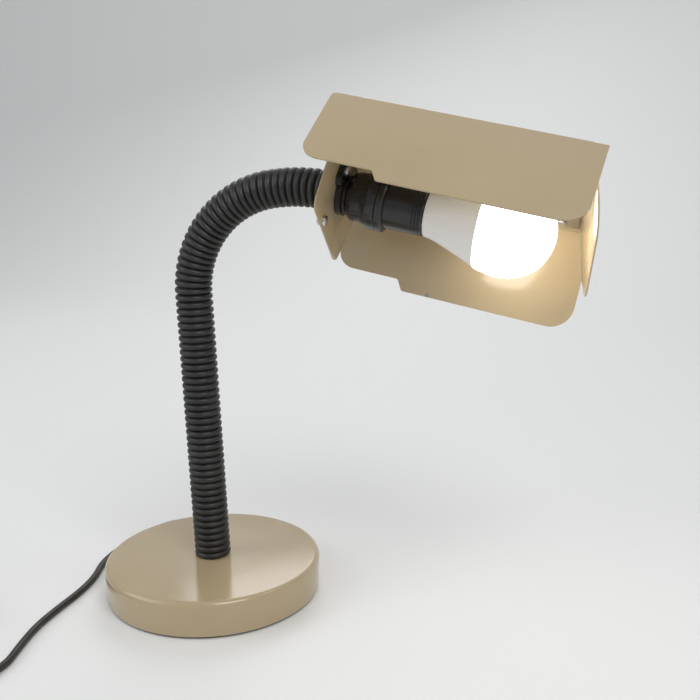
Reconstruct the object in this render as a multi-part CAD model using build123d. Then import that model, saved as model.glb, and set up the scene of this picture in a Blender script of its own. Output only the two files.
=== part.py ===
from build123d import *
import math
import os

os.makedirs("parts", exist_ok=True)

# Counts, angles and shares
hex_sides = 6
half_share = 0.5
quarter_deg = 90.0
diagonal_share = math.sqrt(half_share)

# Fits
run_gap = 0.05
face_gap = 0.1
seat_gap = 0.3

# Base
base_r = 78.4
base_taper = 1.0
base_h = 27.0
base_edge_r = 4.0
base_wall = 1.5
pad_t = 1.5
pad_inset = 2.5
plate_t = 1.5
weight_h = 17.5
weight_gap = 5.9
weight_bore_r = 17.0
channel_w = 20.0
base_screw_inset = 20.0
base_screw_count = 3
base_screw_r = 2.0
base_screw_depth = 9.0
base_head_r = 3.8
base_head_t = 1.2
pad_hole_r = 6.0

# Neck middle line, angles from upright
neck_lean_deg = -1.2
neck_mid_deg = 80.8
neck_end_deg = 101.73
neck_straight = 194.4
neck_bend_r = 71.45
neck_crook_r = 115.0
neck_tail = 2.6

# Neck sleeve
section_count = 7
ribs_per_section = 10
rib_r = 13.0
groove_r = 11.0
flank_share = 0.72
bore_r = 9.0
rib_shares = (0.0, 0.25, 0.5, 0.75)

# Neck core links
ball_r = 6.0
stem_r = 3.0
stem_len = 9.5
rod_r = 6.0
cup_r = 8.2
cup_len = 9.0
lap = 0.5
rod_steps = 8
foot_flange_t = 4.0
shank_r = 5.0
shank_len = 17.0
neck_washer_r = 12.0
neck_washer_t = 1.2
neck_nut_r = 10.0
neck_nut_t = 6.0
collar_r = 12.6
nipple_end = 22.5
swivel_washer_r = 9.0
swivel_washer_t = 0.8
swivel_nut_r = 8.6
swivel_nut_t = 4.2

# Shade, along the head's axis from the end of the neck
head_roll_deg = 34.71
sheet_t = 1.0
wall_face = 8.0
top_half = 54.1
top_rise = 37.15
side_start = -1.0
side_over = 9.0
side_depth = 66.3
side_splay_deg = 17.1
notch_depth = 7.6
notch_end = 49.2
notch_lean = 4.6
side_low_r = 16.0
side_notch_r = 12.0
side_top_r = 3.5
step_r = 2.0
flap_gap = 1.5
flap_len = 52.5
flap_flare_deg = 16.3
flap_corner_r = 25.0
wall_top_half = 50.0
wall_low_half = 39.0
wall_drop = 32.4
wall_corner_r = 8.0

# Heat shield
shield_start = 62.0
shield_back = 1.0
shield_half = 46.3
shield_t = 0.6
shield_drop = 2.0
shield_inset = 4.3
rivet_run = 11.5
rivet_r = 2.5
rivet_head_r = 3.4
rivet_head_t = 0.8

# Lamp holder
holder_plate_t = 4.0
holder_half = 21.5
holder_low = -3.5
holder_high = 20.0
holder_corner_r = 5.0
holder_disc_r = 14.0
screw_r = 2.0
screw_head_r = 3.4
screw_head_t = 1.8
holder_screw_v = 16.5
holder_screw_w = 8.0
earth_v = -13.0
earth_w = -28.0
earth_nut_r = 3.6
earth_nut_t = 2.6
hub_r = 12.3
hub_end = 14.5
cap_neck = 17.5
cap_neck_r = 15.8
cap_waist = 25.0
cap_waist_r = 16.4
cap_step = 28.0
cap_step_r = 17.4
cap_shoulder = 30.5
cap_end = 36.0
cap_r = 18.7
cap_in_r = 15.0
cap_floor = 16.5
cap_floor_r = 10.6
ring_end = 41.0
ring_r = 18.9
block_start = 24.0
block_end = 38.0
sleeve_end = 66.5
sleeve_r = 15.8
sleeve_in_r = 14.5
thread_end = 62.0
thread_in_r = 13.3
contact_r = 4.0
contact_end = 40.2

# Bulb
bulb_r = 30.0
bulb_mid = 118.5
bulb_gap = 9.5
bulb_rim = 103.0
bulb_rim_r = 27.7
bulb_swell = 110.5
bulb_swell_r = 29.3
dome_t = 1.2
housing_start = 67.1
housing_a = (76.6, 85.3, 93.9)
housing_r = (17.5, 20.7, 23.9)
housing_foot_r = 15.3
housing_t = 1.5
bulb_cap_r = 13.1
bulb_cap_t = 0.6
bulb_tip_r = 4.5
bulb_tip_a = (40.3, 43.0, 45.5)
bulb_step_r = 10.5
board_t = 1.6

# Cord
cord_d = 5.0
gland_deg = 120.0
gland_z = 9.5
gland_r = 5.8
gland_tip_r = 3.5
gland_len = 20.0
gland_neck_r = 4.6
gland_flange_r = 6.0
gland_flange_t = 2.0
cord_start = 7.6
cord_first = 27.6
cord_path = (
    (-68.4, 98.9, 5.2),
    (-85.2, 93.6, 3.0),
    (-95.5, 75.5, 2.55),
    (-97.0, 60.8, 2.55),
    (-100.8, 43.5, 2.55),
    (-102.0, 25.0, 2.55),
    (-100.5, 7.0, 2.55),
    (-93.0, -15.5, 2.55),
    (-90.5, -40.0, 2.55),
    (-91.5, -66.0, 2.55),
    (-91.0, -92.0, 2.55),
    (-86.0, -117.0, 2.55),
    (-79.5, -142.0, 2.55),
    (-87.0, -162.7, 4.6),
)
corner_share = 0.45

# Cord switch
switch_len = 56.0
switch_w = 24.0
switch_h = 15.0
switch_x = -119.0
switch_y = -175.3
switch_grip = 11.0
switch_edge_r = 3.0
switch_lead = 14.0
slot_half = 10.6
slot_w = 10.0
rocker_w = 9.4
rocker_half = 9.5
rocker_z = 12.0
rocker_wing = (0.2, 2.5, 3.8)
rocker_keel = 2.0
rocker_tilt_deg = 9.0
pivot_r = 1.3
pivot_len = 13.0
pivot_hole_len = 13.4

# Coil, as crossings of its middle plane
coil_x = -178.0
coil_y = -116.0
coil_outer = 38.5
coil_step = 2.75
low_count = 7
high_count = 6
tie_t = 1.0
tie_gap = 0.4
tie_w = 8.0
tie_deg = 30.0
tie_in = 16.4
tie_out = 41.2
layer_rise = 5.5
tail_run = 33.0
least_gap = 0.4
coil_samples = 1000
coil_skip = 20.0

# Plug
plug_w = 35.3
plug_t = 13.7
plug_len = 34.0
plug_edge_r = 4.0
plug_grip = 6.0
pin_r = 2.0
pin_len = 19.0
pin_span = 19.0

# Sizes that follow from those above
base_foot_r = base_r - base_taper
shell_in_r = base_foot_r - base_wall
weight_r = shell_in_r - weight_gap
base_screw_ring_r = weight_r - base_screw_inset
top_end = bulb_mid + bulb_r + bulb_gap
side_end = top_end + side_over
shield_end = top_end - shield_back
board_r = bulb_rim_r - (housing_t + dome_t) / 2
cord_r = cord_d / 2
shade_face = wall_face - sheet_t
on_end = (Align.CENTER, Align.CENTER, Align.MIN)
axis_x = Vector(1, 0, 0)
axis_y = Vector(0, 1, 0)


def turned(degrees):
    """Direction in the neck's plane, degrees from upright toward the head."""
    angle = math.radians(degrees)
    return Vector(math.sin(angle), 0, math.cos(angle))


def neck_at(s):
    """Point and direction of the neck's middle line at length s from the base."""
    point = Vector(0, 0, base_h)
    spans = (
        (neck_straight, neck_lean_deg, None),
        (neck_bend_r * math.radians(neck_mid_deg - neck_lean_deg), neck_lean_deg, neck_bend_r),
        (neck_crook_r * math.radians(neck_end_deg - neck_mid_deg), neck_mid_deg, neck_crook_r),
        (math.inf, neck_end_deg, None),
    )
    for length, start, radius in spans:
        part = min(s, length)
        if radius is None:
            point = point + turned(start) * part
            heading = start
        else:
            heading = start + math.degrees(part / radius)
            before = math.radians(start)
            after = math.radians(heading)
            sideways = radius * (math.cos(before) - math.cos(after))
            rise = radius * (math.sin(after) - math.sin(before))
            point = point + Vector(sideways, 0, rise)
        s = s - part
        if s <= 0:
            break
    return point, turned(heading)


def neck_plane(s):
    """Work plane across the neck at length s."""
    point, heading = neck_at(s)
    return Plane(origin=point, x_dir=axis_y, z_dir=heading)


def along_neck(start, end, radius, steps):
    """Round bar along the neck from start to end."""
    sections = []
    for k in range(steps + 1):
        s = start + (end - start) * k / steps
        sections.append(neck_plane(s) * Circle(radius))
    return loft(sections, ruled=True)


def disc(radius, low, high):
    """Upright cylinder between two heights."""
    return Pos(0, 0, low) * Cylinder(radius, high - low, align=on_end)


def axial(radius, start, end, v=0, w=0):
    """Cylinder along the head's axis between two stations."""
    plane = Plane(origin=(start, v, w), x_dir=axis_y, z_dir=axis_x)
    return plane * Cylinder(radius, end - start, align=on_end)


def axial_hex(radius, start, end, v=0, w=0):
    """Hexagon bar along the head's axis."""
    plane = Plane(origin=(start, v, w), x_dir=axis_y, z_dir=axis_x)
    return extrude(plane * RegularPolygon(radius, hex_sides), amount=end - start)


def turned_profile(points):
    """Solid of revolution about the head's axis from station and radius pairs."""
    outline = Polyline(*[(a, 0, r) for a, r in points], close=True)
    return revolve(make_face(outline), axis=Axis.X)


def route(points):
    """Wire of straight runs and tangent arcs through the points."""
    runs = []
    for p, q in zip(points, points[1:]):
        runs.append(Vector(*q) - Vector(*p))
    radii = []
    for before, after in zip(runs, runs[1:]):
        turn = math.radians(before.get_angle(after))
        radii.append(corner_share * min(before.length, after.length) / math.tan(turn / 2))
    print("cord radii", [round(radius, 1) for radius in radii])
    return FilletPolyline(*points, radius=radii)


def tube(path, radius):
    """Round tube swept along a path."""
    start = path @ 0
    heading = path % 0
    return sweep(Plane(origin=start, z_dir=heading) * Circle(radius), path=path)


def biarc(p, t, q, u):
    """Two arcs from p heading t to q heading u."""
    v = q - p
    t_sum = t + u
    bend = 2 * (1 - t.dot(u))
    reach = v.dot(t_sum)
    d = (-reach + math.sqrt(reach * reach + bend * v.dot(v))) / bend
    middle = (p + q + (t - u) * d) / 2
    first = TangentArc(p, middle, tangent=t)
    return first, TangentArc(middle, q, tangent=first % 1)


def save(shape, name):
    """Write one node."""
    export_step(shape, "parts/" + name + ".step")
    print(name, round(shape.volume, 1))


# Neck lengths
neck_length = (
    neck_straight
    + neck_bend_r * math.radians(neck_mid_deg - neck_lean_deg)
    + neck_crook_r * math.radians(neck_end_deg - neck_mid_deg)
)
sleeve_length = neck_length + neck_tail
section_step = sleeve_length / section_count
hinges = [section_step * (k + half_share) for k in range(section_count)]
head_point, head_axis = neck_at(neck_length)
roll = math.radians(head_roll_deg)
head_up = turned(neck_end_deg - quarter_deg) * math.cos(roll) + axis_y * math.sin(roll)
head = Plane(origin=head_point, x_dir=head_axis, z_dir=head_up)

# Base
low = pad_t
roof = base_h - base_wall
edge_cut = base_edge_r * (1 - diagonal_share)
outer = make_face(
    Polyline(
        (0, 0, low),
        (base_foot_r, 0, low),
        (base_r, 0, base_h - base_edge_r),
    )
    + ThreePointArc(
        (base_r, 0, base_h - base_edge_r),
        (base_r - edge_cut, 0, base_h - edge_cut),
        (base_r - base_edge_r, 0, base_h),
    )
    + Polyline((base_r - base_edge_r, 0, base_h), (0, 0, base_h), (0, 0, low))
)
shell = revolve(outer, axis=Axis.Z)
shell -= disc(shell_in_r, low - lap, roof - base_edge_r)
shell -= disc(shell_in_r - base_edge_r, low - lap, roof)
shell -= disc(shank_r, roof - lap, base_h + lap)
gland_turn = math.radians(gland_deg)
gland_way = Vector(math.cos(gland_turn), math.sin(gland_turn), 0)


def gland_bar(radius, start, end, tip=None):
    """Round bar or cone on the cord's way out of the base."""
    plane = Plane(origin=gland_way * start + Vector(0, 0, gland_z), z_dir=gland_way)
    if tip is None:
        return plane * Cylinder(radius, end - start, align=on_end)
    return plane * Cone(radius, tip, end - start, align=on_end)


shell -= gland_bar(gland_neck_r, weight_r, base_r + base_edge_r)
save(shell, "base_shell")

plate_top = pad_t + plate_t
weight_top = plate_top + weight_h
pad = disc(base_foot_r - pad_inset, 0, pad_t)
plate = disc(shell_in_r - face_gap, pad_t, plate_top)
weight = disc(weight_r, plate_top, weight_top)
weight -= disc(weight_bore_r, plate_top - lap, weight_top + lap)
channel = Box(weight_r * 2, channel_w, weight_h * 2, align=(Align.MIN, Align.CENTER, Align.MIN))
weight -= Pos(0, 0, plate_top + base_wall) * Rot(0, 0, gland_deg) * channel
screws = []
screw_turn_deg = 4 * quarter_deg / base_screw_count
for k in range(base_screw_count):
    spot = Rot(0, 0, gland_deg + screw_turn_deg * (k + half_share)) * Pos(base_screw_ring_r, 0, 0)
    shank = spot * disc(base_screw_r, pad_t, plate_top + base_screw_depth)
    pad -= spot * disc(pad_hole_r, -lap, pad_t + lap)
    plate -= shank
    weight -= shank
    screws.append(shank + spot * disc(base_head_r, pad_t - base_head_t, pad_t))
save(pad, "base_pad")
save(plate, "base_plate")
save(weight, "base_weight")
save(Compound(children=screws), "base_screws")

# Neck foot and its fixing
low_hinge = hinges[0]
foot = disc(shank_r, base_h - shank_len, base_h + lap) + disc(cup_r, base_h, base_h + foot_flange_t)
foot += along_neck(foot_flange_t - lap, low_hinge - stem_len, rod_r, 1)
foot += along_neck(low_hinge - stem_len - lap, low_hinge, stem_r, 1)
foot += neck_plane(low_hinge) * Sphere(ball_r)
save(foot, "neck_foot")
washer_low = roof - neck_washer_t
save(disc(neck_washer_r, washer_low, roof) - disc(shank_r, washer_low - lap, base_h), "neck_washer")
nut = extrude(RegularPolygon(neck_nut_r, hex_sides), amount=neck_nut_t)
nut = Pos(0, 0, washer_low - neck_nut_t) * nut
save(nut - disc(shank_r, 0, base_h), "neck_nut")

# Neck links and sleeves
for k, s in enumerate(hinges):
    here = neck_plane(s)
    cup = here * Cylinder(cup_r, cup_len, align=on_end)
    cup -= here * Sphere(ball_r + run_gap)
    if k + 1 < section_count:
        ahead = hinges[k + 1]
        link = cup + along_neck(s + cup_len - lap, ahead - stem_len, rod_r, rod_steps)
        link += along_neck(ahead - stem_len - lap, ahead, stem_r, rod_steps)
        link += neck_plane(ahead) * Sphere(ball_r)
    else:
        link = cup + along_neck(s + cup_len - lap, sleeve_length, rod_r, rod_steps)
        link += head * axial(shank_r, neck_tail - lap, nipple_end)
    save(link, "neck_link_" + str(k + 1))

    start = section_step * k
    pitch = section_step / ribs_per_section
    rings = []
    holes = []
    for rib in range(ribs_per_section):
        radii = (groove_r, groove_r + (rib_r - groove_r) * flank_share, rib_r)
        for share, radius in zip(rib_shares, radii + (radii[1],)):
            rings.append(neck_plane(start + pitch * (rib + share)) * Circle(radius))
        holes.append(neck_plane(start + pitch * rib) * Circle(bore_r))
    end_plane = neck_plane(start + section_step)
    rings.append(end_plane * Circle(groove_r))
    holes.append(end_plane * Circle(bore_r))
    sleeve = loft(rings, ruled=True) - loft(holes, ruled=True)
    if k == 0:
        sleeve -= disc(rib_r * 2, 0, base_h)
    save(sleeve, "neck_sleeve_" + str(k + 1))

collar = axial(collar_r, neck_tail, shade_face - face_gap) - axial(shank_r, 0, wall_face)
save(head * collar, "neck_collar")
washer_at = cap_floor + face_gap
nut_at = washer_at + swivel_washer_t
bore = axial(shank_r, cap_floor, nipple_end)
save(head * (axial(swivel_washer_r, washer_at, nut_at) - bore), "swivel_washer")
save(head * (axial_hex(swivel_nut_r, nut_at, nut_at + swivel_nut_t) - bore), "swivel_nut")

# Shade shell
splay = math.radians(side_splay_deg)
crease = Vector(side_start, top_half, top_rise)
down = Vector(0, math.sin(splay), -math.cos(splay))
out = Vector(0, math.cos(splay), math.sin(splay))
half_way = (splay + math.radians(quarter_deg)) / 2
half_out = Vector(0, math.cos(half_way), math.sin(half_way))


def mirrored(point):
    """Same point on the other side of the head."""
    return Vector(point.X, -point.Y, point.Z)


sheet_up = Vector(0, 0, sheet_t)
low_in = crease + down * side_depth
low_out = low_in + out * sheet_t
bend_side = crease + out * sheet_t
bend_mid = crease + half_out * sheet_t
bend_top = crease + sheet_up
section = Polyline(low_in, low_out, bend_side)
section += ThreePointArc(bend_side, bend_mid, bend_top)
section += Line(bend_top, mirrored(bend_top))
section += ThreePointArc(mirrored(bend_top), mirrored(bend_mid), mirrored(bend_side))
section += Polyline(
    mirrored(bend_side),
    mirrored(low_out),
    mirrored(low_in),
    mirrored(crease),
    crease,
    low_in,
)
shade = extrude(make_face(section), amount=side_end - side_start, dir=axis_x)
side_plane = Plane(origin=(0, top_half, top_rise), x_dir=axis_x, z_dir=out)
outline = FilletPolyline(
    (side_start, -sheet_t),
    (side_end, -sheet_t),
    (side_end, side_depth),
    (notch_end, side_depth),
    (notch_end - notch_lean, side_depth - notch_depth),
    (side_start, side_depth - notch_depth),
    radius=[side_top_r, 0, side_low_r, step_r, step_r, side_notch_r],
    close=True,
)
side_mid = (side_start + side_end) / 2
blank = Pos(side_mid, side_depth / 2) * Rectangle(side_end + side_depth, side_depth * 2)
blank -= Pos(side_mid, -side_depth) * Rectangle(side_end + side_depth * 2, (side_depth - sheet_t) * 2)
trim = extrude(side_plane.offset(-sheet_t) * (blank - make_face(outline)), amount=sheet_t * 3)
shade -= trim
shade -= mirror(trim, about=Plane.XZ)
for start, end in ((side_start - lap, shade_face), (top_end, side_end + lap)):
    gap = Box(end - start, top_half * 2, sheet_t * 2, align=(Align.MIN, Align.CENTER, Align.CENTER))
    shade -= Pos(start, 0, top_rise + sheet_t / 2) * gap

flare = math.radians(flap_flare_deg)
flap_out = Vector(math.cos(flare), 0, math.sin(flare))
flap_plane = Plane(origin=(top_end, 0, top_rise), x_dir=axis_y, z_dir=flap_out)
flap_top = top_half - flap_gap
flap_low = flap_top + flap_len * math.cos(flare) * math.tan(splay)
flap = extrude(
    flap_plane
    * make_face(
        FilletPolyline(
            (-flap_top, 0),
            (flap_top, 0),
            (flap_low, -flap_len),
            (-flap_low, -flap_len),
            radius=[0, 0, flap_corner_r, flap_corner_r],
            close=True,
        )
    ),
    amount=sheet_t,
)
fold = Vector(top_end, -flap_top, top_rise)
fold_turn = (flare + math.radians(quarter_deg)) / 2
fold_mid = Vector(math.cos(fold_turn), 0, math.sin(fold_turn))
bend = Line(fold, fold + sheet_up)
bend += ThreePointArc(fold + sheet_up, fold + fold_mid * sheet_t, fold + flap_out * sheet_t)
bend += Line(fold + flap_out * sheet_t, fold)
shade += flap
shade += extrude(make_face(bend), amount=flap_top * 2, dir=axis_y)
wall_plane = Plane(origin=(shade_face, 0, 0), x_dir=axis_y, z_dir=axis_x)
wall = extrude(
    wall_plane
    * make_face(
        FilletPolyline(
            (wall_top_half, top_rise + sheet_t),
            (wall_low_half, -wall_drop),
            (-wall_low_half, -wall_drop),
            (-wall_top_half, top_rise + sheet_t),
            radius=[0, wall_corner_r, wall_corner_r, 0],
            close=True,
        )
    ),
    amount=sheet_t,
)
shade += wall
shade -= axial(shank_r + run_gap, shade_face - lap, wall_face + lap)
plate_face = wall_face + holder_plate_t
earth = axial(screw_r, shade_face - earth_nut_t - lap, wall_face, earth_v, earth_w)
earth_head = axial(screw_head_r, wall_face, wall_face + screw_head_t, earth_v, earth_w)
earth_nut = axial_hex(earth_nut_r, shade_face - earth_nut_t, shade_face, earth_v, earth_w)
shade -= earth

# Lamp holder
holder_mid = (holder_low + holder_high) / 2
holder_face = Plane(origin=(wall_face, 0, holder_mid), x_dir=axis_y, z_dir=axis_x)
holder = extrude(
    holder_face * RectangleRounded(holder_half * 2, holder_high - holder_low, holder_corner_r),
    amount=holder_plate_t,
)
holder += axial(holder_disc_r, wall_face, plate_face)
holder -= axial(shank_r + run_gap, shade_face, plate_face + lap)
holder_screws = []
for v in (-holder_screw_v, holder_screw_v):
    shank = axial(screw_r, shade_face - lap, plate_face, v, holder_screw_w)
    shade -= shank
    holder -= shank
    screw_head = axial(screw_head_r, plate_face, plate_face + screw_head_t, v, holder_screw_w)
    holder_screws.append(shank + screw_head)
save(head * shade, "shade_shell")
save(head * holder, "holder_plate")
save(head * Compound(children=holder_screws), "holder_screws")
save(head * (earth + earth_head), "earth_screw")
save(head * (earth_nut - earth), "earth_nut")

hole_r = shank_r + run_gap
cap = turned_profile(
    (
        (plate_face, hole_r),
        (plate_face, hub_r),
        (hub_end, hub_r),
        (cap_neck, cap_neck_r),
        (cap_waist, cap_waist_r),
        (cap_step, cap_step_r),
        (cap_shoulder, cap_r),
        (cap_end, cap_r),
        (cap_end, cap_in_r),
        (block_start, cap_in_r),
        (cap_floor, cap_floor_r),
        (cap_floor, hole_r),
    )
)
save(head * cap, "socket_cap")
ring = axial(ring_r, cap_end, ring_end) - axial(cap_in_r, cap_end - lap, ring_end + lap)
save(head * ring, "socket_ring")
front = axial(sleeve_r, ring_end, sleeve_end) - axial(sleeve_in_r, ring_end - lap, sleeve_end + lap)
save(head * front, "socket_sleeve")
save(head * axial(cap_in_r, block_start, block_end), "contact_block")
thread = axial(sleeve_in_r, block_end, thread_end)
thread -= axial(thread_in_r, block_end - lap, thread_end + lap)
save(head * thread, "screw_shell")
save(head * axial(contact_r, block_end, contact_end), "centre_contact")

# Heat shield
shield_high = top_rise - shield_drop
under = (Align.MIN, Align.CENTER, Align.MAX)
shield = Box(shield_end - shield_start, shield_half * 2, shield_t, align=under)
shield = Pos(shield_start, 0, shield_high) * shield
rivets = []
for a in (shield_start + rivet_run, shield_end - rivet_run):
    for v in (shield_inset - shield_half, shield_half - shield_inset):
        spot = Pos(a, v, 0)
        shield_low = shield_high - shield_t
        stem = spot * disc(rivet_r, shield_low, top_rise)
        shield -= stem
        rivets.append(stem + spot * disc(rivet_head_r, shield_low - rivet_head_t, shield_low))
save(head * shield, "heat_shield")
save(head * Compound(children=rivets), "shield_rivets")

# Bulb
tip, step, edge = bulb_tip_a
bulb_cap = turned_profile(
    (
        (tip, 0),
        (tip, bulb_tip_r),
        (step, bulb_step_r),
        (edge, bulb_cap_r),
        (housing_start, bulb_cap_r),
        (housing_start, bulb_cap_r - bulb_cap_t),
        (edge + lap, bulb_cap_r - bulb_cap_t),
        (step + lap, bulb_step_r - bulb_cap_t),
        (tip + bulb_cap_t, bulb_tip_r - bulb_cap_t),
        (tip + bulb_cap_t, 0),
    )
)
save(head * bulb_cap, "bulb_cap")
body = [(housing_start, housing_foot_r)]
body += zip(housing_a, housing_r)
body.append((bulb_rim, bulb_rim_r))
hollow = [(a, r - housing_t) for a, r in reversed(body)]
save(head * turned_profile(body + hollow), "bulb_housing")


def dome_profile(inset):
    """Edges of the dome's outline, moved in by inset."""
    radius = bulb_r - inset
    slant = radius * diagonal_share
    edges = ThreePointArc(
        (bulb_rim, 0, bulb_rim_r - inset),
        (bulb_swell, 0, bulb_swell_r - inset),
        (bulb_mid, 0, radius),
    )
    return edges + ThreePointArc(
        (bulb_mid, 0, radius),
        (bulb_mid + slant, 0, slant),
        (bulb_mid + radius, 0, 0),
    )


tip_out = bulb_mid + bulb_r
dome_outline = dome_profile(0) + Line((tip_out, 0, 0), (tip_out - dome_t, 0, 0)) + dome_profile(dome_t)
dome_outline += Line((bulb_rim, 0, bulb_rim_r), (bulb_rim, 0, bulb_rim_r - dome_t))
save(head * revolve(make_face(dome_outline), axis=Axis.X), "bulb_dome")
save(head * axial(board_r, bulb_rim, bulb_rim + board_t), "bulb_board")

# Cord lead
gland = gland_bar(gland_neck_r, shell_in_r - gland_flange_t - lap, base_r + lap)
gland += gland_bar(gland_r, base_r, base_r + gland_len, gland_tip_r)
gland += gland_bar(gland_flange_r, shell_in_r - gland_flange_t - lap, shell_in_r - lap)
gland -= gland_bar(cord_r + run_gap, weight_r, base_r + gland_len * 2)
save(gland, "cord_gland")

switch_mid = switch_h / 2
cord_area = math.pi * cord_r * cord_r
lead = []
for reach in (cord_start, cord_first):
    lead.append(tuple(gland_way * (base_r + reach) + Vector(0, 0, gland_z)))
lead += cord_path
lead.append((switch_x + switch_lead, switch_y, switch_mid))
lead.append((switch_x - switch_grip, switch_y, switch_mid))
lead_path = route(lead)
lead_tube = tube(lead_path, cord_r)
print("lead", round(lead_path.length, 1), "volume", lead_tube.volume / lead_path.length / cord_area)
save(lead_tube, "cord_lead")

# Cord switch
switch_end = switch_x - switch_len
switch_cx = (switch_x + switch_end) / 2
case = Pos(switch_cx, switch_y, switch_mid) * Box(switch_len, switch_w, switch_h)
case = fillet(case.edges().filter_by(Axis.Z), switch_edge_r)
for end in (switch_x, switch_end):
    entry = Rot(0, quarter_deg, 0) * Cylinder(cord_r, switch_grip * 2)
    case -= Pos(end, switch_y, switch_mid) * entry
lower = case & Pos(switch_cx, switch_y, 0) * Box(switch_len * 2, switch_w * 2, switch_mid, align=on_end)
upper = case - lower
upper -= Pos(switch_cx, switch_y, switch_mid) * Box(slot_half * 2, slot_w, switch_h * 2)
hinge_spot = Pos(switch_cx, switch_y, rocker_z)
upper -= hinge_spot * Rot(quarter_deg, 0, 0) * Cylinder(pivot_r + run_gap, pivot_hole_len)
save(lower, "switch_lower")
save(upper, "switch_upper")
wing_low, wing_high, peak = rocker_wing
rocker_face = make_face(
    Polyline(
        (-rocker_half, 0, wing_low),
        (-rocker_half, 0, wing_high),
        (0, 0, peak),
        (rocker_half, 0, wing_high),
        (rocker_half, 0, wing_low),
        (0, 0, -rocker_keel),
        close=True,
    )
)
rocker = extrude(rocker_face, amount=rocker_w / 2, both=True)
rocker += Rot(quarter_deg, 0, 0) * Cylinder(pivot_r, pivot_len)
save(hinge_spot * Rot(0, rocker_tilt_deg, 0) * rocker, "switch_rocker")

# Cord tail, coil and the run into the plug
coil_z = tie_t + tie_gap + cord_r
coil_top = coil_z + layer_rise
centre = Vector(coil_x, coil_y, 0)
coil_start = centre + Vector(-coil_outer, 0, coil_z)
tail_from = Vector(switch_end + switch_grip, switch_y, switch_mid)
tail_slant = tail_run * diagonal_share
corner = Vector(coil_start.X + tail_slant, switch_y, switch_mid)
turn = Vector(coil_start.X, switch_y + tail_slant, coil_z)
tail = route([tuple(tail_from), tuple(corner), tuple(turn), tuple(coil_start)])
edges = list(tail.edges())
crossings = []
for k in range(low_count):
    side = -1 if k % 2 == 0 else 1
    crossings.append(Vector(side * (coil_outer - coil_step * k), 0, coil_z))
inner = coil_outer - coil_step * low_count
crossings.append(Vector(inner, 0, coil_top))
for k in range(high_count):
    side = -1 if k % 2 == 0 else 1
    crossings.append(Vector(side * (inner + coil_step * (k + 2)), 0, coil_top))
for k, (p, q) in enumerate(zip(crossings, crossings[1:])):
    way = axis_y if k % 2 == 0 else -axis_y
    edges += biarc(centre + p, way, centre + q, -way)
plug_z = coil_top + cord_r + plug_t / 2 + seat_gap
plug_start = centre + Vector(-coil_outer, 0, plug_z)
edges += biarc(centre + crossings[-1], -axis_y, plug_start, axis_y)
edges.append(Line(plug_start, plug_start + axis_y * (cord_d + plug_grip)))
coil_path = Wire(edges)
coil_tube = tube(coil_path, cord_r)
print("coil", round(coil_path.length, 1), "volume", coil_tube.volume / coil_path.length / cord_area)
spots = [coil_path @ (k / coil_samples) for k in range(coil_samples + 1)]
skip = int(coil_skip * coil_samples / coil_path.length)
nearest = min((p - q).length for k, p in enumerate(spots) for q in spots[k + skip :])
print("coil self gap", round(nearest - cord_d, 2), "least", least_gap)
save(coil_tube, "cord_coil")

tie_mid = (tie_in + tie_out) / 2
tie_high = coil_top + cord_r + tie_gap - tie_t
tie = Box(tie_out - tie_in + tie_t * 2, tie_w, tie_high + tie_t * 2, align=on_end)
tie -= Pos(0, 0, tie_t) * Box(tie_out - tie_in, tie_w * 2, tie_high, align=on_end)
save(Pos(centre) * Rot(0, 0, tie_deg) * Pos(tie_mid, 0, 0) * tie, "cord_tie")

# Plug
plug_face = plug_start + axis_y * cord_d
plug = Pos(plug_face) * Box(plug_w, plug_len, plug_t, align=(Align.CENTER, Align.MIN, Align.CENTER))
plug = fillet(plug.edges().filter_by(Axis.Y), plug_edge_r)
plug -= Pos(plug_face) * Rot(quarter_deg, 0, 0) * Cylinder(cord_r, plug_grip * 2)
pins = []
for side in (-1, 1):
    spot = plug_face + axis_x * (pin_span / 2 * side) + axis_y * plug_len
    pins.append(Pos(spot) * Rot(-quarter_deg, 0, 0) * Cylinder(pin_r, pin_len, align=on_end))
save(plug, "plug_body")
save(Compound(children=pins), "plug_pins")
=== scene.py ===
"""Dresses a desk lamp with a flexible neck.

Painted base and shade, ribbed neck, lamp holder, lit bulb and cord.
"""

import logging
import math
from dataclasses import dataclass
from enum import Enum
from typing import Iterable, Sequence

import bmesh
import bpy
from mathutils import Matrix, Vector


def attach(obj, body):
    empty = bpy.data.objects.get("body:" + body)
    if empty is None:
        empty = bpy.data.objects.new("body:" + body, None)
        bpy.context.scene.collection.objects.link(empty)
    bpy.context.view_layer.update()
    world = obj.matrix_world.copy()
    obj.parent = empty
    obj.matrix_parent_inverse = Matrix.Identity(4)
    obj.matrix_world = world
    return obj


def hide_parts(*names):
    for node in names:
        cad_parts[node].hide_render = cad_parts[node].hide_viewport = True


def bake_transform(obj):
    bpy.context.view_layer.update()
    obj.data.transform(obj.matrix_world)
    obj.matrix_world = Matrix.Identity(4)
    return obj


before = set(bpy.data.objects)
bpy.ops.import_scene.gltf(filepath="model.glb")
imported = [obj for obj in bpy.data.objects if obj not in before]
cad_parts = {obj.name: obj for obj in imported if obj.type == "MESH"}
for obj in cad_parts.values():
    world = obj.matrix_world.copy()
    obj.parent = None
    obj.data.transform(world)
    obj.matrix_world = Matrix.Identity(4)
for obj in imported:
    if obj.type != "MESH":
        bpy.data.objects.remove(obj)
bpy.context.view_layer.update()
LOG = logging.getLogger("desk_lamp")

Point = tuple[float, float, float]
Pair = tuple[float, float]
Colour = tuple[float, float, float]
Shape = bmesh.types.BMesh
Edge = bmesh.types.BMEdge
Corner = bmesh.types.BMVert
Piece = bpy.types.Object
Tree = bpy.types.NodeTree
Node = bpy.types.Node
Socket = bpy.types.NodeSocket
Values = dict[str | int, float | tuple[float, ...]]

SMOOTH_DEG = 32.0
FOLD_ANGLE = 0.5
NEAR = 1e-6
FINE_STEPS = 120


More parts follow.
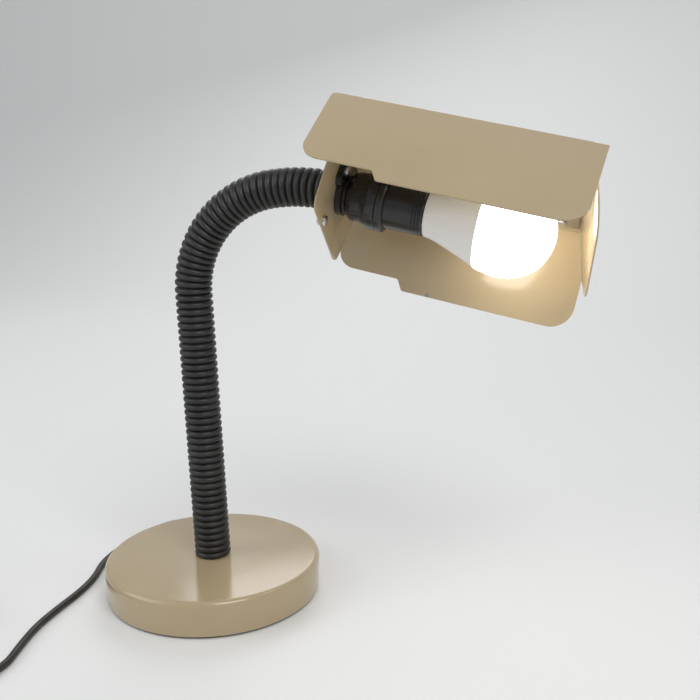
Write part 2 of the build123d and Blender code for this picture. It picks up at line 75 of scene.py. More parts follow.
class Grain(Enum):
    """Kinds of fine relief a finish can carry."""

    PEEL = "orange peel of sprayed enamel"
    MOULD = "spark texture of moulded plastic"
    ROLLED = "lines of rolled sheet"
    CAST = "lumps of a sand casting"


class SocketKind(Enum):
    """Kinds of value that go into a node group and out of it."""

    COLOUR = "NodeSocketColor"
    NUMBER = "NodeSocketFloat"
    PLACE = "NodeSocketVector"


def set_inputs(node: Node, values: Values) -> None:
    """Give inputs of a node their values."""
    for name, value in values.items():
        node.inputs[name].default_value = value


def add_node(tree: Tree, kind: str, inputs: Values | None = None, **settings: str | Tree) -> Node:
    """Add a shader node to a tree.

    Args:
        tree: Node tree to add to.
        kind: Kind of node.
        inputs: Values of the inputs that aren't left as they come.
        settings: Values of the node's own settings.

    Returns:
        The new node.
    """
    node = tree.nodes.new("ShaderNode" + kind)
    for name, value in settings.items():
        setattr(node, name, value)
    set_inputs(node, inputs or {})
    return node


def join(tree: Tree, *pairs: tuple[Socket, Socket]) -> None:
    """Link outputs to inputs.

    Args:
        tree: Node tree of the sockets.
        pairs: Output and input of each link.
    """
    for source, goal in pairs:
        tree.links.new(source, goal)


class ShaderGroups:
    """Node groups shared by the finishes, each built once."""

    MOTTLE_OCTAVES = 5.0
    MOTTLE_SPAN = (0.35, 0.7)
    DRIFT_OCTAVES = 6.0
    DRIFT_SPAN = (0.3, 0.7)
    PEEL_OCTAVES = 2.0
    GRAIN_OCTAVES = 4.0
    ROLLED_STRETCH = (0.04, 1.0, 1.0)
    SCUFF_OCTAVES = 2.0
    SCUFF_STRETCH = (1.0, 7.0, 3.0)
    SCUFF_TURN = (0.4, 0.7, 0.9)
    SCUFF_SPAN = (0.72, 0.78)
    CHIP_OCTAVES = 3.0
    CHIP_SCALE = 700.0
    CHIP_REACH = 1.4

    def __init__(self) -> None:
        """Build every shared group."""
        self.mottle = self._mottle()
        self.drift = self._drift()
        self.relief = {grain: self._relief(grain) for grain in Grain}
        self.scuffs = self._scuffs()
        self.chip = self._chip()

    @staticmethod
    def _new(
        name: str, inputs: Sequence[tuple[str, SocketKind, object]], output: tuple[str, SocketKind],
    ) -> tuple[Tree, Node, Node]:
        """Start a group with named sockets.

        Args:
            name: Name of the group.
            inputs: Name, kind and default of each input.
            output: Name and kind of the output.

        Returns:
            The node tree, its input node and its output node.
        """
        tree = bpy.data.node_groups.new(name, "ShaderNodeTree")
        for label, kind, default in inputs:
            socket = tree.interface.new_socket(label, in_out="INPUT", socket_type=kind.value)
            socket.default_value = default
        label, kind = output
        tree.interface.new_socket(label, in_out="OUTPUT", socket_type=kind.value)
        return tree, tree.nodes.new("NodeGroupInput"), tree.nodes.new("NodeGroupOutput")

    @staticmethod
    def _noise(tree: Tree, octaves: float, stretch: Values | None = None) -> Node:
        """Noise on object coordinates.

        Args:
            tree: Node tree to add to.
            octaves: Octaves of the noise.
            stretch: Scale and turn of the coordinates, where they aren't plain.

        Returns:
            The noise node.
        """
        place = add_node(tree, "TexCoord").outputs["Object"]
        if stretch:
            mapping = add_node(tree, "Mapping", stretch)
            join(tree, (place, mapping.inputs["Vector"]))
            place = mapping.outputs["Vector"]
        noise = add_node(tree, "TexNoise", {"Detail": octaves})
        join(tree, (place, noise.inputs["Vector"]))
        return noise

    @staticmethod
    def _ramp(tree: Tree, noise: Node, span: Pair) -> Node:
        """Stretch a part of a noise to run from nought to one.

        Args:
            tree: Node tree to add to.
            noise: The noise node.
            span: Where the part starts and ends.

        Returns:
            The stretching node.
        """
        ramp = add_node(tree, "MapRange", {"From Min": span[0], "From Max": span[1]})
        join(tree, (noise.outputs["Fac"], ramp.inputs["Value"]))
        return ramp

    def _mottle(self) -> Tree:
        """Slow drift between two colours.

        Returns:
            The node tree.
        """
        tree, into, out = self._new(
            "colour_mottle",
            (
                ("Main", SocketKind.COLOUR, (0.5, 0.5, 0.5, 1.0)),
                ("Second", SocketKind.COLOUR, (0.4, 0.4, 0.4, 1.0)),
                ("Scale", SocketKind.NUMBER, 30.0),
            ),
            ("Color", SocketKind.COLOUR),
        )
        noise = self._noise(tree, self.MOTTLE_OCTAVES)
        ramp = self._ramp(tree, noise, self.MOTTLE_SPAN)
        mix = add_node(tree, "Mix", data_type="RGBA")
        join(
            tree,
            (into.outputs["Scale"], noise.inputs["Scale"]),
            (ramp.outputs["Result"], mix.inputs["Factor"]),
            (into.outputs["Main"], mix.inputs["A"]),
            (into.outputs["Second"], mix.inputs["B"]),
            (mix.outputs["Result"], out.inputs["Color"]),
        )
        return tree

    def _drift(self) -> Tree:
        """Value that wanders between two limits, for roughness.

        Returns:
            The node tree.
        """
        tree, into, out = self._new(
            "gloss_drift",
            (
                ("Low", SocketKind.NUMBER, 0.3),
                ("High", SocketKind.NUMBER, 0.5),
                ("Scale", SocketKind.NUMBER, 20.0),
            ),
            ("Value", SocketKind.NUMBER),
        )
        noise = self._noise(tree, self.DRIFT_OCTAVES)
        ramp = self._ramp(tree, noise, self.DRIFT_SPAN)
        join(
            tree,
            (into.outputs["Scale"], noise.inputs["Scale"]),
            (into.outputs["Low"], ramp.inputs["To Min"]),
            (into.outputs["High"], ramp.inputs["To Max"]),
            (ramp.outputs["Result"], out.inputs["Value"]),
        )
        return tree

    def _relief(self, grain: Grain) -> Tree:
        """Height of one kind of fine relief.

        Args:
            grain: Which relief.

        Returns:
            The node tree.
        """
        tree, into, out = self._new(
            "relief_" + grain.name.lower(),
            (("Scale", SocketKind.NUMBER, 800.0),),
            ("Height", SocketKind.NUMBER),
        )
        octaves = self.PEEL_OCTAVES if grain is Grain.PEEL else self.GRAIN_OCTAVES
        stretch = {"Scale": self.ROLLED_STRETCH} if grain is Grain.ROLLED else None
        noise = self._noise(tree, octaves, stretch)
        join(
            tree,
            (into.outputs["Scale"], noise.inputs["Scale"]),
            (noise.outputs["Fac"], out.inputs["Height"]),
        )
        return tree

    def _scuffs(self) -> Tree:
        """Mask of sparse thin scratches and specks.

        Returns:
            The node tree.
        """
        tree, into, out = self._new(
            "fine_scuffs",
            (("Scale", SocketKind.NUMBER, 60.0), ("Amount", SocketKind.NUMBER, 0.5)),
            ("Mask", SocketKind.NUMBER),
        )
        stretch = {"Scale": self.SCUFF_STRETCH, "Rotation": self.SCUFF_TURN}
        noise = self._noise(tree, self.SCUFF_OCTAVES, stretch)
        ramp = self._ramp(tree, noise, self.SCUFF_SPAN)
        faint = add_node(tree, "Math", operation="MULTIPLY")
        join(
            tree,
            (into.outputs["Scale"], noise.inputs["Scale"]),
            (ramp.outputs["Result"], faint.inputs[0]),
            (into.outputs["Amount"], faint.inputs[1]),
            (faint.outputs["Value"], out.inputs["Mask"]),
        )
        return tree

    def _chip(self) -> Tree:
        """Mask of one ragged spot where the paint has come off.

        Returns:
            The node tree.
        """
        tree, into, out = self._new(
            "paint_chip",
            (("Centre", SocketKind.PLACE, (0.0, 0.0, 0.0)), ("Radius", SocketKind.NUMBER, 0.002)),
            ("Mask", SocketKind.NUMBER),
        )
        noise = self._noise(tree, self.CHIP_OCTAVES)
        set_inputs(noise, {"Scale": self.CHIP_SCALE})
        place = noise.inputs["Vector"].links[0].from_socket
        gap = add_node(tree, "VectorMath", operation="DISTANCE")
        ragged = add_node(tree, "Math", operation="MULTIPLY_ADD")
        limit = add_node(tree, "Math", {1: self.CHIP_REACH}, operation="MULTIPLY")
        inside = add_node(tree, "Math", operation="LESS_THAN")
        join(
            tree,
            (place, gap.inputs[0]),
            (into.outputs["Centre"], gap.inputs[1]),
            (noise.outputs["Fac"], ragged.inputs[0]),
            (into.outputs["Radius"], ragged.inputs[1]),
            (gap.outputs["Value"], ragged.inputs[2]),
            (into.outputs["Radius"], limit.inputs[0]),
            (ragged.outputs["Value"], inside.inputs[0]),
            (limit.outputs["Value"], inside.inputs[1]),
            (inside.outputs["Value"], out.inputs["Mask"]),
        )
        return tree


@dataclass(frozen=True)
class Finish:
    """One surface finish: two close colours, a gloss range and a fine relief."""

    name: str
    main: Colour
    second: Colour
    gloss: Pair
    grain: Grain
    grain_scale: float
    grain_depth: float
    grain_strength: float = 0.5
    mottle_scale: float = 30.0
    gloss_drift: float = 2.0
    metallic: float = 0.0
    coat: float = 0.0
    coat_rough: float = 0.15
    specular: float = 0.5
    glow: float = 0.0
    glow_colour: Colour = (1.0, 1.0, 1.0)
    scuff: Colour | None = None
    scuff_amount: float = 0.5
    through: float = 0.0
    through_reach: Point = (0.004, 0.004, 0.004)
    chips: tuple[tuple[Point, float], ...] = ()
    chip: Colour = (0.27, 0.27, 0.265)

    def build(self, groups: ShaderGroups) -> bpy.types.Material:
        """Make the material.

        Args:
            groups: Shared node groups.

        Returns:
            The new material.
        """
        material = bpy.data.materials.new(self.name)
        material.use_nodes = True
        tree = material.node_tree
        shader = tree.nodes["Principled BSDF"]
        set_inputs(shader, {
            "Metallic": self.metallic,
            "Specular IOR Level": self.specular,
            "Coat Weight": self.coat,
            "Coat Roughness": self.coat_rough,
            "Subsurface Weight": self.through,
            "Subsurface Radius": self.through_reach,
        })
        if self.glow:
            lit = {"Emission Color": (*self.glow_colour, 1.0), "Emission Strength": self.glow}
            set_inputs(shader, lit)
        low, high = self.gloss
        drift = {"Low": low, "High": high, "Scale": self.mottle_scale * self.gloss_drift}
        rough = add_node(tree, "Group", drift, node_tree=groups.drift)
        fine = {"Scale": self.grain_scale}
        relief = add_node(tree, "Group", fine, node_tree=groups.relief[self.grain])
        depth = {"Strength": self.grain_strength, "Distance": self.grain_depth}
        bump = add_node(tree, "Bump", depth)
        join(
            tree,
            (self._paint(tree, groups), shader.inputs["Base Color"]),
            (rough.outputs["Value"], shader.inputs["Roughness"]),
            (relief.outputs["Height"], bump.inputs["Height"]),
            (bump.outputs["Normal"], shader.inputs["Normal"]),
        )
        return material

    def _paint(self, tree: Tree, groups: ShaderGroups) -> Socket:
        """Colour of the surface with its scuffs and chips.

        Args:
            tree: The material's node tree.
            groups: Shared node groups.

        Returns:
            Socket of the colour.
        """
        main, second = (*self.main, 1.0), (*self.second, 1.0)
        tones = {"Main": main, "Second": second, "Scale": self.mottle_scale}
        painted = add_node(tree, "Group", tones, node_tree=groups.mottle).outputs["Color"]
        if self.scuff is not None:
            scuffs = add_node(tree, "Group", {"Amount": self.scuff_amount}, node_tree=groups.scuffs)
            painted = self._over(tree, scuffs, painted, self.scuff)
        for centre, radius in self.chips:
            spot = {"Centre": centre, "Radius": radius}
            chip = add_node(tree, "Group", spot, node_tree=groups.chip)
            painted = self._over(tree, chip, painted, self.chip)
        return painted

    @staticmethod
    def _over(tree: Tree, mask: Node, under: Socket, colour: Colour) -> Socket:
        """Lay a colour over another where a mask says so.

        Args:
            tree: The material's node tree.
            mask: Node that gives the mask.
            under: Socket of the colour below.
            colour: The colour on top.

        Returns:
            Socket of the mixed colour.
        """
        mix = add_node(tree, "Mix", {"B": (*colour, 1.0)}, data_type="RGBA")
        join(tree, (mask.outputs["Mask"], mix.inputs["Factor"]), (under, mix.inputs["A"]))
        return mix.outputs["Result"]


class Finishes:
    """Every finish on the lamp."""

    ENAMEL = Finish(
        "beige_enamel", (0.44, 0.35, 0.215), (0.415, 0.325, 0.195), (0.12, 0.2),
        Grain.PEEL, 900.0, 0.00003,
        mottle_scale=14.0, coat=0.25, scuff=(0.5, 0.42, 0.3), scuff_amount=0.3,
        chips=(((0.1514, 0.0453, 0.2176), 0.0021),),
    )
    NECK = Finish(
        "neck_black", (0.012, 0.012, 0.012), (0.02, 0.019, 0.018), (0.36, 0.52),
        Grain.MOULD, 1500.0, 0.00005,
        mottle_scale=60.0, scuff=(0.05, 0.047, 0.043), scuff_amount=0.5,
    )
    HOLDER = Finish(
        "holder_black", (0.013, 0.013, 0.014), (0.02, 0.019, 0.019), (0.16, 0.27),
        Grain.MOULD, 1800.0, 0.00002,
        mottle_scale=50.0,
    )
    BULB = Finish(
        "bulb_white", (0.82, 0.81, 0.78), (0.79, 0.78, 0.75), (0.3, 0.4),
        Grain.MOULD, 2200.0, 0.00001,
        mottle_scale=25.0, through=0.2,
    )
    GLOW = Finish(
        "bulb_diffuser_lit", (0.95, 0.94, 0.91), (0.93, 0.92, 0.89), (0.35, 0.45),
        Grain.MOULD, 2500.0, 0.00001,
        glow=6.5, glow_colour=(1.0, 0.95, 0.87),
    )
    CORD = Finish(
        "cord_brown_black", (0.016, 0.012, 0.009), (0.024, 0.018, 0.013), (0.4, 0.55),
        Grain.MOULD, 1600.0, 0.00004,
        mottle_scale=70.0,
    )
    PLUG = Finish(
        "plug_black", (0.014, 0.013, 0.012), (0.02, 0.019, 0.017), (0.4, 0.52),
        Grain.MOULD, 1700.0, 0.00005,
        mottle_scale=45.0,
    )
    ROCKER = Finish(
        "rocker_black", (0.011, 0.011, 0.011), (0.015, 0.014, 0.014), (0.2, 0.32),
        Grain.MOULD, 2000.0, 0.00002,
        mottle_scale=45.0,
    )
    ZINC = Finish(
        "zinc_steel", (0.52, 0.52, 0.51), (0.45, 0.45, 0.44), (0.28, 0.45),
        Grain.ROLLED, 900.0, 0.00003,
        metallic=1.0, mottle_scale=90.0,
    )
    BRIGHT = Finish(
        "nickel_bright", (0.68, 0.66, 0.62), (0.6, 0.58, 0.55), (0.16, 0.28),
        Grain.ROLLED, 1500.0, 0.00002,
        metallic=1.0, mottle_scale=80.0,
    )
    BRASS = Finish(
        "brass_plain", (0.62, 0.44, 0.18), (0.52, 0.36, 0.14), (0.25, 0.42),
        Grain.ROLLED, 1200.0, 0.00002,
        metallic=1.0, mottle_scale=70.0,
    )
    SHEET = Finish(
        "aluminium_sheet", (0.6, 0.6, 0.59), (0.54, 0.54, 0.53), (0.3, 0.45),
        Grain.ROLLED, 1100.0, 0.00004,
        metallic=1.0, mottle_scale=40.0,
    )
    IRON = Finish(
        "cast_iron", (0.05, 0.048, 0.046), (0.075, 0.07, 0.065), (0.55, 0.75),
        Grain.CAST, 350.0, 0.0004,
        metallic=0.4, mottle_scale=45.0,
    )
    FELT = Finish(
        "pad_black", (0.02, 0.02, 0.02), (0.035, 0.034, 0.032), (0.8, 0.95),
        Grain.CAST, 1400.0, 0.0003,
        mottle_scale=120.0, specular=0.2,
    )
    CERAMIC = Finish(
        "holder_ceramic", (0.7, 0.67, 0.6), (0.64, 0.61, 0.54), (0.45, 0.6),
        Grain.CAST, 900.0, 0.00005,
        mottle_scale=60.0,
    )


class Lathe:
    """Outline of stations and radii, with arcs, that is turned about an axis."""

    def __init__(self, along: float, radius: float) -> None:
        """Start the outline.

        Args:
            along: Station on the axis, in metres.
            radius: Radius there, in metres.
        """
        self.bm = bmesh.new()
        self.last = self.bm.verts.new((along, 0.0, radius))
        self.first = self.last

    def to(self, *steps: Pair) -> "Lathe":
        """Go straight through more stations.

        Args:
            steps: Station and radius of each corner.

        Returns:
            This outline.
        """
        for along, radius in steps:
            corner = self.bm.verts.new((along, 0.0, radius))
            self.bm.edges.new((self.last, corner))
            self.last = corner
        return self

    def arc(self, centre: Pair, degrees: float, segments: int = 8) -> "Lathe":
        """Go round a centre from the last corner.

        Args:
            centre: Station and radius of the arc's centre.
            degrees: Turn, positive from the axis toward larger stations.
            segments: Straight pieces in the arc.

        Returns:
            This outline.
        """
        done = bmesh.ops.spin(
            self.bm, geom=[self.last], cent=(centre[0], 0.0, centre[1]), axis=(0.0, 1.0, 0.0),
            angle=math.radians(degrees), steps=segments, use_merge=False, use_duplicate=False,
        )
        self.last = moved(done["geom_last"])[0]
        return self

    def close(self) -> "Lathe":
        """Join the last corner to the first."""
        self.bm.edges.new((self.last, self.first))
        return self

    def solid(self, steps: int = 96) -> Shape:
        """Spin the outline into a closed shape.

        Args:
            steps: Segments round the axis.

        Returns:
            The shape, with its axis along X.
        """
        bmesh.ops.spin(
            self.bm, geom=self.bm.verts[:] + self.bm.edges[:], cent=(0.0, 0.0, 0.0),
            axis=(1.0, 0.0, 0.0), angle=math.tau, steps=steps, use_merge=True, use_duplicate=False,
        )
        bmesh.ops.remove_doubles(self.bm, verts=self.bm.verts[:], dist=NEAR)
        return self.bm

    def turn(
        self, name: str, place: Matrix, steps: int = 96, smooth_deg: float = SMOOTH_DEG,
    ) -> Piece:
        """Spin the outline into a finished piece.

        Args:
            name: Name of the new piece.
            place: Where its axis lies.
            steps: Segments round the axis.
            smooth_deg: Edges sharper than this stay sharp.

        Returns:
            The new piece, at the origin with its place in its mesh.
        """
        return finish_mesh(self.solid(steps), name, place, smooth_deg)


def add_object(name: str, data: bpy.types.ID) -> Piece:
    """Put new data into the scene as an object at the origin."""
    thing = bpy.data.objects.new(name, data)
    bpy.context.scene.collection.objects.link(thing)
    return thing


def to_scene(bm: Shape, name: str, place: Matrix, smooth_deg: float) -> Piece:
    """Put a bmesh into the scene with its faces turned as they are.

    Args:
        bm: The shape; it is freed.
        name: Name of the new piece.
        place: Transform applied to the mesh.
        smooth_deg: Edges sharper than this stay sharp.

    Returns:
        The new piece.
    """
    bmesh.ops.transform(bm, matrix=place, verts=bm.verts[:])
    mesh = bpy.data.meshes.new(name)
    bm.to_mesh(mesh)
    bm.free()
    mesh.shade_smooth()
    mesh.set_sharp_from_angle(angle=math.radians(smooth_deg))
    return add_object(name, mesh)


def finish_mesh(bm: Shape, name: str, place: Matrix, smooth_deg: float = SMOOTH_DEG) -> Piece:
    """Put a bmesh into the scene with its faces turned outwards.

    Args:
        bm: The shape; it is freed.
        name: Name of the new piece.
        place: Transform applied to the mesh.
        smooth_deg: Edges sharper than this stay sharp.

    Returns:
        The new piece.
    """
    bmesh.ops.recalc_face_normals(bm, faces=bm.faces[:])
    return to_scene(bm, name, place, smooth_deg)


def gather(
    shape: Shape, name: str, places: Iterable[Matrix], smooth_deg: float = SMOOTH_DEG,
) -> Piece:
    """Repeat one shape at several places in one piece.

    Args:
        shape: The shape; it is freed.
        name: Name of the new piece.
        places: Transform of each copy.
        smooth_deg: Edges sharper than this stay sharp.

    Returns:
        The new piece.
    """
    mould = bpy.data.meshes.new(name + "_mould")
    shape.to_mesh(mould)
    shape.free()
    bm = bmesh.new()
    for place in places:
        before = len(bm.verts)
        bm.from_mesh(mould)
        bm.verts.ensure_lookup_table()
        bmesh.ops.transform(bm, matrix=place, verts=bm.verts[before:])
    bpy.data.meshes.remove(mould)
    return finish_mesh(bm, name, Matrix.Identity(4), smooth_deg)


def moved(grown: Sequence) -> list[Corner]:
    """Vertices among what an extrusion made."""
    return [item for item in grown if isinstance(item, Corner)]


def round_edges(bm: Shape, edges: Sequence, width: float, segments: int = 4) -> None:
    """Round off edges.

    Args:
        bm: The shape.
        edges: Edges to round.
        width: Width of the rounding.
        segments: Steps across it.
    """
    bmesh.ops.bevel(
        bm, geom=list(edges), offset=width, offset_type="OFFSET", affect="EDGES", segments=segments,
        profile=0.5, material=-1, clamp_overlap=True,
    )


def round_corner(bm: Shape, corner: Corner, radius: float, segments: int = 9) -> None:
    """Round off one corner of a flat sheet.

    Args:
        bm: The shape.
        corner: The corner, where two outline edges meet.
        radius: Radius of the rounding.
        segments: Steps round it.
    """
    rim = [e for e in corner.link_edges if len(e.link_faces) == 1]
    ways = [(e.other_vert(corner).co - corner.co) for e in rim]
    reach = radius / math.tan(ways[0].angle(ways[1]) / 2)
    bmesh.ops.bevel(
        bm, geom=[corner], offset=reach, offset_type="OFFSET", affect="VERTICES", segments=segments,
        profile=0.5, material=-1,
    )


def thicken(piece: Piece, thick: float, side: float, even: bool) -> None:
    """Grow a sheet into a wall.

    Args:
        piece: The sheet.
        thick: Thickness of the wall.
        side: One grows along the normals, minus one against them.
        even: Whether folds keep the full thickness.
    """
    grow = piece.modifiers.new("thickness", "SOLIDIFY")
    grow.thickness = thick
    grow.offset = side
    grow.use_even_offset = even


def soften(piece: Piece, width: float, limit_deg: float) -> None:
    """Take the sharpness off a wall's edges.

    Args:
        piece: The wall.
        width: Width of the rounding.
        limit_deg: Edges flatter than this stay as they are.
    """
    edge = piece.modifiers.new("edge", "BEVEL")
    edge.width = width
    edge.segments = 2
    edge.limit_method = "ANGLE"
    edge.angle_limit = math.radians(limit_deg)


def upright(x: float = 0.0, y: float = 0.0, z: float = 0.0) -> Matrix:
    """Placing of a turned piece whose axis stands upright at a point."""
    return Matrix.Translation((x, y, z)) @ Matrix.Rotation(-math.pi / 2, 4, "Y")


def hanging(x: float = 0.0, y: float = 0.0, z: float = 0.0) -> Matrix:
    """Placing of a turned piece whose axis points down from a point."""
    return Matrix.Translation((x, y, z)) @ Matrix.Rotation(math.pi / 2, 4, "Y")


@dataclass(frozen=True)
class PanScrew:
    """Pan-head screw with a cross recess, its seat at zero and its head toward +X."""

    head: float
    height: float
    shank: float
    length: float
    round_share: float = 0.5
    arm_share: float = 0.55
    slot_share: float = 0.13
    sink_share: float = 0.5
    rounds: int = 40
    round_steps: int = 6
    cut_gap: float = 1e-7

    def shape(self) -> Shape:
        """Turn the screw and sink its recess.

        Returns:
            The shape, with its axis along X.
        """
        curve = self.height * self.round_share
        arm = self.head * self.arm_share
        shoulder = self.height - curve
        body = Lathe(-self.length, 0.0).to((-self.length, self.shank), (0.0, self.shank))
        body.to((0.0, self.head), (shoulder, self.head))
        body.arc((shoulder, self.head - curve), 90.0, self.round_steps)
        bm = body.to((self.height, arm), (self.height, 0.0)).solid(self.rounds)
        half = self.head * self.slot_share
        for way in (Vector((0.0, 1.0, 0.0)), Vector((0.0, 0.0, 1.0))):
            for side in (-half, half):
                front = self._front(bm, arm)
                rims = list({e for f in front for e in f.edges})
                corners = list({v for f in front for v in f.verts})
                bmesh.ops.bisect_plane(
                    bm, geom=front + rims + corners, dist=self.cut_gap, plane_co=way * side,
                    plane_no=way,
                )
        cross = []
        for face in self._front(bm, arm):
            middle = face.calc_center_median()
            if min(abs(middle.y), abs(middle.z)) < half:
                cross.append(face)
        grown = bmesh.ops.extrude_face_region(bm, geom=cross)["geom"]
        bmesh.ops.translate(bm, vec=(-self.height * self.sink_share, 0.0, 0.0), verts=moved(grown))
        return bm

    def _front(self, bm: Shape, arm: float) -> list[bmesh.types.BMFace]:
        """Faces of the head's flat middle.

        Args:
            bm: The turned screw.
            arm: Radius of the flat middle.

        Returns:
            The faces inside that radius.
        """
        edge = self.height - NEAR
        found = []
        for face in bm.faces:
            if all(v.co.x > edge and math.hypot(v.co.y, v.co.z) < arm + NEAR for v in face.verts):
                found.append(face)
        return found


@dataclass(frozen=True)
class HexNut:
    """Hexagon nut from zero to its thickness along X."""

    radius: float
    bore: float
    thick: float
    edge: float = 0.0003
    sides: int = 6
    rounds: int = 24

    def shape(self) -> Shape:
        """Fill the ring between hexagon and bore, and thicken it.

        Returns:
            The shape, with its axis along X.
        """
        bm = bmesh.new()
        face_on = Matrix.Rotation(math.pi / 2, 4, "Y")
        for count, radius in ((self.sides, self.radius), (self.rounds, self.bore)):
            bmesh.ops.create_circle(
                bm, cap_ends=False, segments=count, radius=radius, matrix=face_on,
            )
        bmesh.ops.triangle_fill(bm, use_beauty=True, use_dissolve=False, edges=bm.edges[:])
        grown = bmesh.ops.extrude_face_region(bm, geom=bm.faces[:])["geom"]
        bmesh.ops.translate(bm, vec=(self.thick, 0.0, 0.0), verts=moved(grown))
        bmesh.ops.recalc_face_normals(bm, faces=bm.faces[:])
        rim = []
        for edge in bm.edges:
            outer = all(math.hypot(v.co.y, v.co.z) > self.radius - NEAR for v in edge.verts)
            if outer and edge.calc_face_angle(0.0) > FOLD_ANGLE:
                rim.append(edge)
        round_edges(bm, rim, self.edge, 2)
        return bm


def carry(bm: Shape, edges: Sequence, frames: Iterable[Matrix]) -> list[Edge]:
    """Draw a loop of edges through a row of frames.

    Args:
        bm: The shape.
        edges: The loop, drawn about the origin.
        frames: Frame of each station; the first one moves the loop itself.

    Returns:
        The last loop.
    """
    loop = list(edges)
    before = Matrix.Identity(4)
    for count, after in enumerate(frames):
        if count:
            grown = set(bmesh.ops.extrude_edge_only(bm, edges=loop)["geom"])
            new = [g for g in grown if isinstance(g, Edge) and len(g.link_faces) == 1]
            loop = [e for e in new if all(v in grown for v in e.verts)]
        verts = list({v for e in loop for v in e.verts})
        bmesh.ops.transform(bm, matrix=after @ before.inverted(), verts=verts)
        before = after
    return loop


def outline(bm: Shape, half: Pair, radius: float, segments: int = 6) -> list[Edge]:
    """Rectangle with rounded corners, as a loop of edges about the origin.

    Args:
        bm: The shape it is added to.
        half: Half its length and half its width.
        radius: Radius of its corners.
        segments: Steps round each corner.

    Returns:
        The loop.
    """
    before = set(bm.edges)
    signs = ((-1, -1), (1, -1), (1, 1), (-1, 1))
    corners = [bm.verts.new((x * half[0], y * half[1], 0.0)) for x, y in signs]
    bm.faces.new(corners)
    bmesh.ops.bevel(
        bm, geom=corners, offset=radius, offset_type="OFFSET", affect="VERTICES", segments=segments,
        profile=0.5, material=-1,
    )
    faces = {f for e in bm.edges if e not in before for f in e.link_faces}
    bmesh.ops.delete(bm, geom=list(faces), context="FACES_ONLY")
    return [e for e in bm.edges if e not in before]


@dataclass(frozen=True)
class Moulding:
    """Moulded block with rounded corners, drawn along Z through heights and insets."""

    half: Pair
    corner: float
    stations: tuple[Pair, ...]

    def _frames(self) -> list[Matrix]:
        """Frame of each station, drawn in by its inset.

        Returns:
            The frames in order.
        """
        frames = []
        for height, inset in self.stations:
            across = [(side - inset) / side for side in self.half]
            lift = Matrix.Translation((0.0, 0.0, height))
            frames.append(lift @ Matrix.Diagonal((*across, 1.0, 1.0)))
        return frames

    def shape(self, slot: "Moulding | None" = None) -> Shape:
        """Draw the block and close its ends.

        Args:
            slot: Hole through the block, drawn from its last station to its first.

        Returns:
            The shape.
        """
        bm = bmesh.new()
        first = outline(bm, self.half, self.corner)
        last = carry(bm, first, self._frames())
        if slot is None:
            bmesh.ops.edgeloop_fill(bm, edges=first)
            bmesh.ops.edgeloop_fill(bm, edges=last)
            return bm
        rim = outline(bm, slot.half, slot.corner)
        foot = carry(bm, rim, slot._frames())
        bmesh.ops.triangle_fill(bm, use_beauty=True, use_dissolve=False, edges=last + rim)
        bmesh.ops.triangle_fill(bm, use_beauty=True, use_dissolve=False, edges=first + foot)
        return bm


class Dresser:
    """Joins pieces to the frame and gives them their finishes."""

    def __init__(self) -> None:
        """Build the shared groups and keep the materials made so far."""
        self.groups = ShaderGroups()
        self.made: dict[str, bpy.types.Material] = {}

    def material(self, finish: Finish) -> bpy.types.Material:
        """Material of a finish, made on first use.

        Args:
            finish: The finish.

        Returns:
            Its material.
        """
        if finish.name not in self.made:
            self.made[finish.name] = finish.build(self.groups)
        return self.made[finish.name]

    def coat(self, piece: Piece, finish: Finish) -> None:
        """Give a piece one finish all over."""
        piece.data.materials.clear()
        piece.data.materials.append(self.material(finish))

    def fit(self, piece: Piece, body: str, finish: Finish, slot: str, *nodes: str) -> Piece:
        """Finish a new piece and let it ride on a body in place of solids.

        Args:
            piece: The new piece.
            body: Body it moves with.
            finish: Its finish.
            slot: Not used.
            nodes: Solids that it stands for.

        Returns:
            The same piece.
        """
        self.coat(piece, finish)
        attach(piece, body)
        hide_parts(*nodes)
        LOG.info("%s on %s", piece.name, body)
        return piece

    def nodes(self, finish: Finish, *names: str) -> None:
        """Finish solids that stay as they are.

        Args:
            finish: Their finish.
            names: Names of the solids.
        """
        for name in names:
            self.coat(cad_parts[name], finish)
            LOG.info("%s keeps its solid", name)


